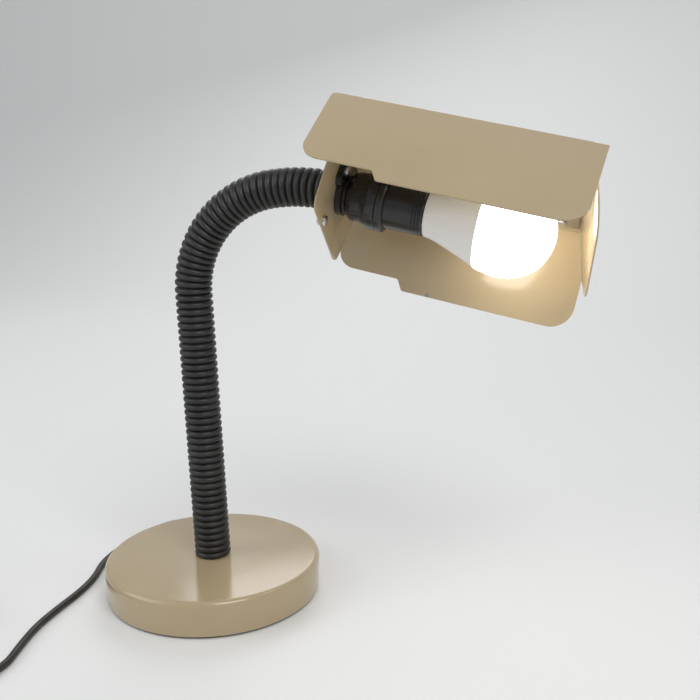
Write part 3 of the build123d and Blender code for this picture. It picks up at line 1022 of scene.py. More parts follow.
@dataclass
class Base:
    """Weighted round base."""

    top_radius: float = 0.0784
    foot_radius: float = 0.0774
    height: float = 0.027
    edge: float = 0.004
    foot_edge: float = 0.0006
    wall: float = 0.0015
    lift: float = 0.0015
    hole: float = 0.005
    screw: PanScrew = PanScrew(0.0038, 0.0012, 0.002, 0.0105)
    screw_ring: float = 0.05
    screw_turns: tuple[float, ...] = (60.0, 180.0, 300.0)
    top_ring: float = 0.5
    rounds: int = 160
    edge_steps: int = 10

    def build(self, dresser: Dresser) -> None:
        """Make the shell and the screws, and finish the solids under it.

        Args:
            dresser: Finishes and fits the pieces.
        """
        inner = self.foot_radius - self.wall
        roof = self.height - self.wall
        rim = self.height - self.edge
        shell = Lathe(self.lift, inner).to((self.lift, self.foot_radius - self.foot_edge))
        shell.to((self.lift + self.foot_edge, self.foot_radius), (rim, self.top_radius))
        shell.arc((rim, self.top_radius - self.edge), 90.0, self.edge_steps)
        shell.to((self.height, self.top_radius * self.top_ring), (self.height, self.hole))
        shell.to((roof, self.hole), (roof, inner - self.edge), (roof - self.edge, inner)).close()
        cover = shell.turn("base_cover", upright(), self.rounds)
        dresser.fit(cover, "base", Finishes.ENAMEL, "shade_paint", "base_shell")
        spots = []
        for degrees in self.screw_turns:
            turn = math.radians(degrees)
            across, away = self.screw_ring * math.cos(turn), self.screw_ring * math.sin(turn)
            spots.append(hanging(across, away, self.lift))
        screws = gather(self.screw.shape(), "plate_screws", spots)
        dresser.fit(screws, "base", Finishes.ZINC, "steel", "base_screws")
        dresser.nodes(Finishes.IRON, "base_weight")
        dresser.nodes(Finishes.ZINC, "base_plate", "neck_foot", "neck_washer")
        dresser.nodes(Finishes.BRASS, "neck_nut")
        dresser.nodes(Finishes.FELT, "base_pad")


@dataclass
class FlexibleNeck:
    """Ribbed flexible neck on its middle line."""

    foot: float = 0.027
    lean_deg: float = -1.2
    mid_deg: float = 80.8
    end_deg: float = 101.73
    straight: float = 0.1944
    bend: float = 0.07145
    crook: float = 0.115
    tail: float = 0.0026
    sections: int = 7
    ribs: int = 10
    rib: float = 0.013
    groove: float = 0.011
    bore: float = 0.009
    rounds: int = 56
    roll_deg: float = 34.71
    collar: float = 0.0126
    collar_end: float = 0.0069
    collar_hole: float = 0.005
    collar_round: float = 0.0012
    collar_steps: int = 5
    smooth_deg: float = 60.0
    bore_shares: tuple[float, ...] = (1.0, 0.75, 0.5, 0.25, 0.0)
    crest: tuple[Pair, ...] = (
        (0.0, 0.0), (0.1, 0.3), (0.2, 0.72), (0.34, 0.95), (0.5, 1.0), (0.66, 0.95), (0.8, 0.72),
        (0.9, 0.3),
    )

    @property
    def length(self) -> float:
        """Length of the middle line to the head's origin."""
        first = self.bend * math.radians(self.mid_deg - self.lean_deg)
        return self.straight + first + self.crook * math.radians(self.end_deg - self.mid_deg)

    @staticmethod
    def way(degrees: float) -> Vector:
        """Direction in the neck's plane, degrees from upright."""
        return Vector((math.sin(math.radians(degrees)), 0.0, math.cos(math.radians(degrees))))

    def station(self, s: float) -> Matrix:
        """Frame across the neck.

        Args:
            s: Length from the base's top.

        Returns:
            Frame with its Z along the neck and its X across the bend.
        """
        point = Vector((0.0, 0.0, self.foot))
        heading = self.lean_deg
        run = min(s, self.straight)
        point += self.way(heading) * run
        s -= run
        for radius, limit in ((self.bend, self.mid_deg), (self.crook, self.end_deg)):
            turn = min(math.degrees(s / radius), limit - heading)
            before, after = math.radians(heading), math.radians(heading + turn)
            step = (math.cos(before) - math.cos(after), 0.0, math.sin(after) - math.sin(before))
            point += Vector(step) * radius
            heading += turn
            s -= radius * math.radians(turn)
        point += self.way(heading) * max(s, 0.0)
        return Matrix.Translation(point) @ Matrix.Rotation(math.radians(heading), 4, "Y")

    def head(self) -> Matrix:
        """Frame of the head, rolled as in the photograph.

        Returns:
            Frame with X along the head, Z up from the shade's top panel.
        """
        end = self.station(self.length)
        turn = Matrix.Rotation(-math.pi / 2, 4, "Y")
        return end @ turn @ Matrix.Rotation(math.radians(-self.roll_deg), 4, "X")

    def build(self, dresser: Dresser) -> None:
        """Make a ribbed sleeve for each section, and the collar.

        Args:
            dresser: Finishes and fits the pieces.
        """
        step = (self.length + self.tail) / self.sections
        bodies = ["base"] + [f"neck_{k + 1}" for k in range(self.sections)]
        for k in range(self.sections):
            piece = self._sleeve(f"neck_ribs_{k + 1}", step * k, step)
            dresser.coat(piece, Finishes.NECK)
            self.station(step * k).translation[:]
            self.station(step * (k + 1)).translation[:]
            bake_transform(piece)
            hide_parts(f"neck_sleeve_{k + 1}")
            dresser.nodes(Finishes.ZINC, f"neck_link_{k + 1}")
            LOG.info("%s bends from %s to %s", piece.name, bodies[k], bodies[k + 1])
        start, end, curve = self.tail, self.collar_end, self.collar_round
        low = self.collar - curve
        collar = Lathe(start, self.collar_hole).to((start, low))
        collar.arc((start + curve, low), 90.0, self.collar_steps).to((end - curve, self.collar))
        collar.arc((end - curve, low), 90.0, self.collar_steps).to((end, self.collar_hole)).close()
        piece = collar.turn("neck_end", self.head())
        dresser.fit(piece, bodies[-1], Finishes.NECK, "neck_black", "neck_collar")
        dresser.nodes(Finishes.ZINC, "swivel_washer")
        dresser.nodes(Finishes.BRASS, "swivel_nut")

    def _sleeve(self, name: str, start: float, length: float) -> Piece:
        """Ribbed tube along one section.

        Args:
            name: Name of the new piece.
            start: Where the section starts on the middle line.
            length: Length of the section.

        Returns:
            The new piece.
        """
        bm = bmesh.new()
        pitch = length / self.ribs
        loops = []
        for rib in range(self.ribs):
            for share, rise in self.crest:
                loops.append((start + pitch * (rib + share), self._radius(rise)))
        loops.append((start + length, self.groove))
        loops += [(start + length * share, self.bore) for share in self.bore_shares]
        bmesh.ops.create_circle(bm, cap_ends=False, segments=self.rounds, radius=1.0)
        first = bm.edges[:]
        frames = [self.station(s) @ Matrix.Diagonal((r, r, 1.0, 1.0)) for s, r in loops]
        last = carry(bm, first, frames)
        bmesh.ops.bridge_loops(bm, edges=first + last)
        return finish_mesh(bm, name, Matrix.Identity(4), self.smooth_deg)

    def _radius(self, share: float) -> float:
        """Radius at a share of the rib's height."""
        return self.groove + (self.rib - self.groove) * share


@dataclass
class Shade:
    """Shade folded from one sheet, with open corners, and the heat shield under its top."""

    sheet: float = 0.001
    sheet_edge: float = 0.00018
    sheet_edge_deg: float = 50.0
    sheet_smooth_deg: float = 30.0
    wall: float = 0.008
    top_end: float = 0.158
    half: float = 0.0541
    rise: float = 0.03715
    side_start: float = -0.001
    side_end: float = 0.167
    depth: float = 0.0663
    splay_deg: float = 17.1
    notch: float = 0.0076
    notch_end: float = 0.0492
    notch_lean: float = 0.0046
    low_radius: float = 0.016
    notch_radius: float = 0.012
    step_radius: float = 0.002
    top_radius: float = 0.0035
    lip: float = 0.0009
    flap_gap: float = 0.0015
    flap: float = 0.0525
    flare_deg: float = 16.3
    flap_radius: float = 0.025
    wall_top: float = 0.05
    wall_low: float = 0.039
    wall_drop: float = 0.0324
    wall_radius: float = 0.008
    hole: float = 0.0056
    hole_steps: int = 40
    fold: float = 0.0012
    crease_gap: float = 1e-5
    shield_start: float = 0.062
    shield_end: float = 0.157
    shield_half: float = 0.0463
    shield_drop: float = 0.002
    shield_sheet: float = 0.0006
    shield_corner: float = 0.002
    boss_margin: float = 0.014
    boss: float = 0.0007
    boss_slope: float = 3.0
    stud_inset: float = 0.0043
    stud_run: float = 0.0115
    stud_steps: int = 32
    stud_smooth_deg: float = 50.0
    stud_outline: tuple[Pair, ...] = (
        (-0.0026, 0.0025), (0.0, 0.0025), (0.0, 0.0034), (0.0003, 0.0033), (0.00055, 0.0028),
        (0.00072, 0.0017), (0.0008, 0.0),
    )

    def _side(self, along: float, down: float, sign: float) -> Point:
        """Point on a side panel's inner face.

        Args:
            along: Station on the head's axis.
            down: Distance from the crease.
            sign: Which side.

        Returns:
            The point in the head's frame.
        """
        splay = math.radians(self.splay_deg)
        across = sign * (self.half + down * math.sin(splay))
        return (along, across, self.rise - down * math.cos(splay))

    def build(self, dresser: Dresser, head: Matrix) -> None:
        """Fold the sheet and hang the heat shield in it.

        Args:
            dresser: Finishes and fits the pieces.
            head: Frame of the head.
        """
        bm = self._blank()
        self._pierce(bm)
        bmesh.ops.recalc_face_normals(bm, faces=bm.faces[:])
        roof = max(bm.faces, key=lambda f: f.calc_center_median().z)
        if roof.normal.z < 0.0:
            bmesh.ops.reverse_faces(bm, faces=bm.faces[:])
        inner = [e for e in bm.edges if len(e.link_faces) == 2]
        folds = [e for e in inner if e.calc_face_angle(0.0) > FOLD_ANGLE]
        round_edges(bm, folds, self.fold)
        self._raise_lips(bm)
        piece = self._sheet(bm, "shade_sheet", head, self.sheet, 1.0)
        soften(piece, self.sheet_edge, self.sheet_edge_deg)
        dresser.fit(piece, "head", Finishes.ENAMEL, "shade_paint", "shade_shell")
        self._shield(dresser, head)

    def _blank(self) -> Shape:
        """Inner faces of the five panels, joined along the folds, with rounded corners.

        Returns:
            The flat-walled sheet.
        """
        bm = bmesh.new()
        known: dict[Point, Corner] = {}

        def vert(point: Point) -> Corner:
            """Vertex at a point, shared between panels.

            Args:
                point: The point in the head's frame.

            Returns:
                The vertex.
            """
            key = tuple(round(c, 6) for c in point)
            if key not in known:
                known[key] = bm.verts.new(point)
            return known[key]

        flare = math.radians(self.flare_deg)
        low = self.flap * math.cos(flare)
        reach = self.top_end + self.flap * math.sin(flare)
        top_flap = self.half - self.flap_gap
        low_flap = top_flap + low * math.tan(math.radians(self.splay_deg))
        step = self.depth - self.notch
        rounded: list[tuple[Corner, float]] = []
        for sign in (-1.0, 1.0):
            panel = [
                (self.side_start, 0.0), (self.wall, 0.0), (self.top_end, 0.0), (self.side_end, 0.0),
                (self.side_end, self.depth), (self.notch_end, self.depth),
                (self.notch_end - self.notch_lean, step), (self.side_start, step),
            ]
            verts = [vert(self._side(a, d, sign)) for a, d in panel]
            bm.faces.new(verts if sign > 0 else verts[::-1])
            rounded += [
                (verts[0], self.top_radius), (verts[4], self.low_radius),
                (verts[5], self.step_radius), (verts[6], self.step_radius),
                (verts[7], self.notch_radius),
            ]
        top = [
            (self.wall, -self.half), (self.wall, -self.wall_top),
            (self.wall, self.wall_top), (self.wall, self.half),
            (self.top_end, self.half), (self.top_end, top_flap),
            (self.top_end, -top_flap), (self.top_end, -self.half),
        ]
        bm.faces.new([vert((a, v, self.rise)) for a, v in top])
        flap = [
            vert((self.top_end, -top_flap, self.rise)), vert((self.top_end, top_flap, self.rise)),
            vert((reach, low_flap, self.rise - low)), vert((reach, -low_flap, self.rise - low)),
        ]
        bm.faces.new(flap)
        rear = [
            vert((self.wall, self.wall_top, self.rise)),
            vert((self.wall, -self.wall_top, self.rise)),
            vert((self.wall, -self.wall_low, -self.wall_drop)),
            vert((self.wall, self.wall_low, -self.wall_drop)),
        ]
        bm.faces.new(rear)
        rounded += [(corner, self.flap_radius) for corner in flap[2:]]
        rounded += [(corner, self.wall_radius) for corner in rear[2:]]
        for corner, radius in rounded:
            round_corner(bm, corner, radius)
        return bm

    def _pierce(self, bm: Shape) -> None:
        """Cut the hole for the neck's end in the rear wall.

        Args:
            bm: The sheet's panels.
        """
        rear = [f for f in bm.faces if all(abs(v.co.x - self.wall) < NEAR for v in f.verts)][0]
        rim = rear.edges[:]
        place = Matrix.Translation((self.wall, 0.0, 0.0)) @ Matrix.Rotation(math.pi / 2, 4, "Y")
        made = bmesh.ops.create_circle(
            bm, cap_ends=False, segments=self.hole_steps, radius=self.hole, matrix=place,
        )
        hole = list({e for v in made["verts"] for e in v.link_edges})
        bmesh.ops.delete(bm, geom=[rear], context="FACES_ONLY")
        bmesh.ops.triangle_fill(bm, use_beauty=True, use_dissolve=False, edges=rim + hole)

    def _raise_lips(self, bm: Shape) -> None:
        """Take the side panels past the folds up to the sheet's outer height.

        Args:
            bm: The folded sheet.
        """
        for sign in (-1.0, 1.0):
            foot = Vector(self._side(0.0, 0.0, sign))
            top = Vector(self._side(0.0, -self.lip, sign))
            lips = []
            for edge in bm.edges:
                aside = max(abs(v.co[axis] - foot[axis]) for v in edge.verts for axis in (1, 2))
                if aside < self.crease_gap and len(edge.link_faces) == 1:
                    lips.append(edge)
            grown = bmesh.ops.extrude_edge_only(bm, edges=lips)["geom"]
            bmesh.ops.translate(bm, vec=top - foot, verts=moved(grown))

    def _sheet(self, bm: Shape, name: str, place: Matrix, thick: float, side: float) -> Piece:
        """Put an open sheet into the scene and thicken it.

        Args:
            bm: The sheet; it is freed.
            name: Name of the new piece.
            place: Transform applied to the mesh.
            thick: Thickness of the sheet.
            side: One grows outward, minus one inward.

        Returns:
            The new piece.
        """
        piece = to_scene(bm, name, place, self.sheet_smooth_deg)
        thicken(piece, thick, side, even=True)
        return piece

    def _shield(self, dresser: Dresser, head: Matrix) -> None:
        """Press the heat shield and set its rivets.

        Args:
            dresser: Finishes and fits the pieces.
            head: Frame of the head.
        """
        high = self.rise - self.shield_drop
        length = self.shield_end - self.shield_start
        bm = bmesh.new()
        rim = outline(bm, (length / 2, self.shield_half), self.shield_corner)
        made = bmesh.ops.edgeloop_fill(bm, edges=rim)["faces"]
        inner = made[0]
        for margin in (self.boss_margin, self.boss * self.boss_slope):
            bmesh.ops.inset_region(
                bm, faces=[inner], thickness=margin, depth=0.0, use_even_offset=True,
            )
            inner = min(bm.faces, key=lambda f: max(v.co.length for v in f.verts))
        bmesh.ops.translate(bm, vec=(0.0, 0.0, self.boss), verts=inner.verts[:])
        bmesh.ops.recalc_face_normals(bm, faces=bm.faces[:])
        if inner.normal.z < 0.0:
            bmesh.ops.reverse_faces(bm, faces=bm.faces[:])
        middle = (self.shield_start + self.shield_end) / 2
        place = head @ Matrix.Translation((middle, 0.0, high))
        plate = self._sheet(bm, "shield_plate", place, self.shield_sheet, -1.0)
        dresser.fit(plate, "head", Finishes.SHEET, "shield", "heat_shield")
        across = self.shield_half - self.stud_inset
        spots = []
        for along in (self.shield_start + self.stud_run, self.shield_end - self.stud_run):
            for v in (-across, across):
                spots.append(head @ hanging(along, v, high - self.shield_sheet))
        stud = Lathe(self.stud_outline[0][0], 0.0).to(*self.stud_outline).solid(self.stud_steps)
        studs = gather(stud, "shield_studs", spots, self.stud_smooth_deg)
        dresser.fit(studs, "head", Finishes.SHEET, "shield", "shield_rivets")


@dataclass
class LampHolder:
    """Screw-in lamp holder on its plate."""

    hole: float = 0.00505
    bore: float = 0.015
    floor: float = 0.0165
    cap_outline: tuple[Pair, ...] = (
        (0.012, 0.0118), (0.0125, 0.0123), (0.0143, 0.0123), (0.0152, 0.0134), (0.0164, 0.0147),
        (0.0178, 0.0156), (0.02, 0.016), (0.0248, 0.0164), (0.0266, 0.0168), (0.0282, 0.0175),
        (0.0296, 0.0183), (0.0306, 0.0187), (0.0353, 0.0187), (0.036, 0.0181), (0.036, 0.015),
        (0.024, 0.015), (0.0165, 0.0106),
    )
    ring_outline: tuple[Pair, ...] = (
        (0.036, 0.0183), (0.0366, 0.0189), (0.0394, 0.0189), (0.0399, 0.0187), (0.0409, 0.0174),
        (0.041, 0.0171), (0.041, 0.015),
    )
    sleeve_start: float = 0.041
    sleeve_bore: float = 0.0145
    sleeve_radius: float = 0.0158
    groove_at: tuple[float, ...] = (0.0598, 0.0618, 0.0638)
    groove_wide: float = 0.0009
    groove_deep: float = 0.00035
    sleeve_end: float = 0.0665
    wall: float = 0.008
    plate: float = 0.012
    screw: PanScrew = PanScrew(0.0034, 0.0018, 0.002, 0.0055)
    screw_spots: tuple[Pair, ...] = ((-0.0165, 0.008), (0.0165, 0.008))
    earth: PanScrew = PanScrew(0.0034, 0.0018, 0.002, 0.0041)
    earth_spot: Pair = (-0.013, -0.028)
    nut: HexNut = HexNut(0.0036, 0.002, 0.0026)
    nut_start: float = 0.0044

    def build(self, dresser: Dresser, head: Matrix) -> None:
        """Turn the three black pieces and the screws, and finish the rest.

        Args:
            dresser: Finishes and fits the pieces.
            head: Frame of the head.
        """
        cap = Lathe(self.cap_outline[0][0], self.hole)
        cap.to(*self.cap_outline, (self.floor, self.hole)).close()
        ring = Lathe(self.ring_outline[0][0], self.bore).to(*self.ring_outline).close()
        turned = (
            (cap, "holder_cap", "socket_cap"),
            (ring, "holder_ring", "socket_ring"),
            (self._sleeve(), "holder_sleeve", "socket_sleeve"),
        )
        for profile, name, node in turned:
            piece = profile.turn(name, head, FINE_STEPS)
            dresser.fit(piece, "head", Finishes.HOLDER, "holder_black", node)
        spots = [head @ Matrix.Translation((self.plate, v, w)) for v, w in self.screw_spots]
        screws = gather(self.screw.shape(), "holder_fixings", spots)
        dresser.fit(screws, "head", Finishes.ZINC, "steel", "holder_screws")
        earthed = (
            (self.earth, "earth_bolt", self.wall, "earth_screw"),
            (self.nut, "earth_hex", self.nut_start, "earth_nut"),
        )
        for fastener, name, along, node in earthed:
            spot = head @ Matrix.Translation((along, *self.earth_spot))
            piece = gather(fastener.shape(), name, [spot])
            dresser.fit(piece, "head", Finishes.BRIGHT, "nickel", node)
        dresser.nodes(Finishes.HOLDER, "holder_plate")
        dresser.nodes(Finishes.BRASS, "screw_shell", "centre_contact")
        dresser.nodes(Finishes.CERAMIC, "contact_block")

    def _sleeve(self) -> Lathe:
        """Outline of the front sleeve with its grooves.

        Returns:
            The closed outline.
        """
        start, end, radius = self.sleeve_start, self.sleeve_end, self.sleeve_radius
        low = radius - self.groove_deep
        edge = self.groove_wide / 3
        sleeve = Lathe(start, self.sleeve_bore).to((start, radius))
        for along in self.groove_at:
            sleeve.to((along, radius), (along + edge, low))
            sleeve.to((along + edge * 2, low), (along + edge * 3, radius))
        lip = self.groove_deep * 2
        return sleeve.to((end - lip, radius), (end, radius - lip), (end, self.sleeve_bore)).close()


@dataclass
class Bulb:
    """Screw-in bulb with a white housing and a lit dome."""

    body_outline: tuple[Pair, ...] = (
        (0.0671, 0.0148), (0.0675, 0.0153), (0.0705, 0.0159), (0.0735, 0.0166), (0.0766, 0.0175),
        (0.081, 0.0191), (0.0853, 0.0207), (0.0896, 0.0223), (0.0939, 0.0239), (0.0985, 0.0257),
        (0.1025, 0.0274), (0.103, 0.0271), (0.103, 0.0262), (0.0939, 0.0224), (0.0853, 0.0192),
        (0.0766, 0.016),
    )
    body_bore: float = 0.0138
    dome_outline: tuple[Pair, ...] = (
        (0.103, 0.0277), (0.1055, 0.0283), (0.108, 0.0288), (0.1105, 0.0293), (0.1145, 0.0298),
    )
    middle: float = 0.1185
    radius: float = 0.03
    wall: float = 0.0012
    dome_steps: int = 20

    def build(self, dresser: Dresser, head: Matrix) -> None:
        """Turn the housing and the dome.

        Args:
            dresser: Finishes and fits the pieces.
            head: Frame of the head.
        """
        body = Lathe(self.body_outline[0][0], self.body_bore).to(*self.body_outline).close()
        housing = body.turn("bulb_body", head, FINE_STEPS)
        dresser.fit(housing, "head", Finishes.BULB, "bulb_white", "bulb_housing")
        inner = self.radius - self.wall
        hollow = [(along, radius - self.wall) for along, radius in self.dome_outline]
        dome = Lathe(*hollow[0]).to(*self.dome_outline, (self.middle, self.radius))
        centre = (self.middle, 0.0)
        dome.arc(centre, 90.0, self.dome_steps).to((self.middle + inner, 0.0))
        dome.arc(centre, -90.0, self.dome_steps).to(*hollow[:0:-1]).close()
        globe = dome.turn("bulb_globe", head, FINE_STEPS)
        dresser.fit(globe, "head", Finishes.GLOW, "bulb_diffuser", "bulb_dome")
        dresser.nodes(Finishes.BRIGHT, "bulb_cap")
        dresser.nodes(Finishes.SHEET, "bulb_board")


@dataclass
class Gland:
    """Ribbed strain relief where the cord leaves the base."""

    turn_deg: float = 120.0
    height: float = 0.0095
    bore: float = 0.00255
    neck: tuple[Pair, ...] = (
        (0.0734, 0.006), (0.0754, 0.006), (0.0754, 0.0046), (0.0776, 0.0046), (0.0776, 0.0058),
        (0.0802, 0.0057),
    )
    tip: Pair = (0.0984, 0.0035)
    ribs: int = 5
    rib_from: float = 0.0802
    groove_deep: float = 0.0008
    groove_share: float = 0.4
    least_wall: float = 0.0004
    tip_edge: float = 0.0005
    rounds: int = 64

    def build(self, dresser: Dresser) -> Piece:
        """Turn the strain relief.

        Args:
            dresser: Finishes and fits the pieces.

        Returns:
            The new piece.
        """
        gland = Lathe(self.neck[0][0], self.bore).to(*self.neck)
        start, radius = self.neck[-1]
        pitch = (self.tip[0] - self.rib_from) / (self.ribs + 0.5)
        slope = (self.tip[1] - radius) / (self.tip[0] - start)
        share = self.groove_share
        rib = ((0.0, 1.0), (share, 1.0), (share, 0.0), (1.0, 0.0))
        for k in range(self.ribs):
            for ahead, deep in rib:
                along = self.rib_from + pitch * (k + ahead)
                skin = radius + slope * (along - start)
                gland.to((along, max(skin - deep * self.groove_deep, self.bore + self.least_wall)))
        end, tip = self.tip
        gland.to((end - self.tip_edge, tip), (end, tip - self.tip_edge), (end, self.bore)).close()
        turn = Matrix.Rotation(math.radians(self.turn_deg), 4, "Z")
        place = Matrix.Translation((0.0, 0.0, self.height)) @ turn
        piece = gland.turn("cord_relief", place, self.rounds)
        return dresser.fit(piece, "base", Finishes.CORD, "cord_brown", "cord_gland")


@dataclass
class CordSwitch:
    """Two-part cord switch with a rocker."""

    centre: Point = (-0.147, -0.1753, 0.0)
    half: Pair = (0.028, 0.012)
    corner: float = 0.003
    lower: tuple[Pair, ...] = (
        (0.0, 0.0011), (0.0003, 0.0004), (0.0011, 0.0), (0.0071, 0.0), (0.0075, 0.0004),
    )
    upper: tuple[Pair, ...] = (
        (0.0075, 0.0004), (0.0079, 0.0), (0.0132, 0.0), (0.0142, 0.0003), (0.0147, 0.0008),
        (0.015, 0.0018),
    )
    slot_half: Pair = (0.0106, 0.005)
    slot_corner: float = 0.0006
    slot: tuple[Pair, ...] = ((0.015, -0.0005), (0.0145, 0.0), (0.0075, 0.0))
    hinge: float = 0.012
    tilt_deg: float = 9.0
    rocker: tuple[Pair, ...] = (
        (-0.0095, 0.0002), (-0.0095, 0.0025), (0.0, 0.0038), (0.0095, 0.0025), (0.0095, 0.0002),
        (0.0, -0.002),
    )
    rocker_half: float = 0.0047
    rocker_edge: float = 0.0005
    rocker_crease: float = 0.4
    rocker_smooth_deg: float = 40.0

    def build(self, dresser: Dresser) -> list[Piece]:
        """Mould the case and the rocker.

        Args:
            dresser: Finishes and fits the pieces.

        Returns:
            The new pieces.
        """
        place = Matrix.Translation(self.centre)
        lower = Moulding(self.half, self.corner, self.lower)
        upper = Moulding(self.half, self.corner, self.upper)
        slot = Moulding(self.slot_half, self.slot_corner, self.slot)
        under = finish_mesh(lower.shape(), "switch_under", place)
        over = finish_mesh(upper.shape(slot), "switch_over", place)
        bm = bmesh.new()
        side = bm.faces.new([bm.verts.new((x, -self.rocker_half, z)) for x, z in self.rocker])
        grown = bmesh.ops.extrude_face_region(bm, geom=[side])["geom"]
        bmesh.ops.translate(bm, vec=(0.0, self.rocker_half * 2, 0.0), verts=moved(grown))
        bmesh.ops.recalc_face_normals(bm, faces=bm.faces[:])
        creases = [e for e in bm.edges if e.calc_face_angle(0.0) > self.rocker_crease]
        round_edges(bm, creases, self.rocker_edge, 3)
        tilt = Matrix.Rotation(math.radians(self.tilt_deg), 4, "Y")
        hinge = place @ Matrix.Translation((0.0, 0.0, self.hinge)) @ tilt
        key = finish_mesh(bm, "switch_key", hinge, self.rocker_smooth_deg)
        return [
            dresser.fit(under, "base", Finishes.PLUG, "plug_black", "switch_lower"),
            dresser.fit(over, "base", Finishes.PLUG, "plug_black", "switch_upper"),
            dresser.fit(key, "rocker", Finishes.ROCKER, "plug_black", "switch_rocker"),
        ]


@dataclass
class Plug:
    """Two-pin plug lying on the coil."""

    start: Point = (-0.2165, -0.111, 0.01905)
    half: Pair = (0.01765, 0.00685)
    corner: float = 0.004
    body: tuple[Pair, ...] = (
        (0.0, 0.0036), (0.0004, 0.003), (0.0014, 0.0025), (0.0098, 0.0011), (0.0102, 0.0018),
        (0.0112, 0.0018), (0.0116, 0.0009), (0.0136, 0.0007), (0.014, 0.0015), (0.015, 0.0015),
        (0.0154, 0.0006), (0.0174, 0.0004), (0.0178, 0.0012), (0.0188, 0.0012), (0.0192, 0.0002),
        (0.022, 0.0), (0.0328, 0.0), (0.0336, 0.0003), (0.034, 0.001),
    )
    length: float = 0.034
    pin: float = 0.002
    pin_length: float = 0.019
    pin_half: float = 0.0095
    pin_sleeve: float = 0.0095
    pin_round: float = 0.0009
    pin_step: float = 0.0001
    pin_arc_steps: int = 5
    pin_rounds: int = 40

    def build(self, dresser: Dresser) -> list[Piece]:
        """Mould the body and turn the pins.

        Args:
            dresser: Finishes and fits the pieces.

        Returns:
            The new pieces.
        """
        place = Matrix.Translation(self.start)
        turn = Matrix.Rotation(-math.pi / 2, 4, "X")
        moulding = Moulding(self.half, self.corner, self.body)
        body = finish_mesh(moulding.shape(), "plug_moulding", place @ turn)
        end, curve, bare = self.pin_length, self.pin_round, self.pin - self.pin_step
        pin = Lathe(0.0, 0.0).to((0.0, self.pin), (self.pin_sleeve, self.pin))
        pin.to((self.pin_sleeve, bare), (end - curve, bare))
        pin.arc((end - curve, bare - curve), 90.0, self.pin_arc_steps).to((end, 0.0))
        ahead = Matrix.Rotation(math.pi / 2, 4, "Z")
        spots = []
        for across in (-self.pin_half, self.pin_half):
            spots.append(place @ Matrix.Translation((across, self.length, 0.0)) @ ahead)
        pins = gather(pin.solid(self.pin_rounds), "plug_prongs", spots)
        dresser.fit(body, "base", Finishes.PLUG, "plug_black", "plug_body")
        dresser.fit(pins, "base", Finishes.BRASS, "brass", "plug_pins")
        pins.data.materials.append(dresser.material(Finishes.PLUG))
        sleeve_end = self.start[1] + self.length + self.pin_sleeve
        for face in pins.data.polygons:
            face.material_index = 1 if face.center.y < sleeve_end - self.pin_step else 0
        return [body, pins]


@dataclass
class CordTie:
    """Flat strap round the coil."""

    centre: Point = (-0.178, -0.116, 0.0)
    turn_deg: float = 30.0
    middle: float = 0.0288
    half: Pair = (0.0134, 0.00665)
    wide: float = 0.008
    thick: float = 0.001
    corner: float = 0.0038
    edge: float = 0.0003
    edge_deg: float = 30.0

    def build(self, dresser: Dresser) -> Piece:
        """Bend the strap.

        Args:
            dresser: Finishes and fits the pieces.

        Returns:
            The new piece.
        """
        bm = bmesh.new()
        loop = outline(bm, self.half, self.corner)
        stand = Matrix.Rotation(math.pi / 2, 4, "X")
        lift = Matrix.Translation((self.middle, 0.0, self.half[1]))
        rims = (-self.wide / 2, self.wide / 2)
        carry(bm, loop, [lift @ Matrix.Translation((0.0, rim, 0.0)) @ stand for rim in rims])
        turn = Matrix.Rotation(math.radians(self.turn_deg), 4, "Z")
        piece = finish_mesh(bm, "coil_strap", Matrix.Translation(self.centre) @ turn)
        thicken(piece, self.thick, -1.0, even=False)
        soften(piece, self.edge, self.edge_deg)
        return dresser.fit(piece, "base", Finishes.CORD, "cord_brown", "cord_tie")


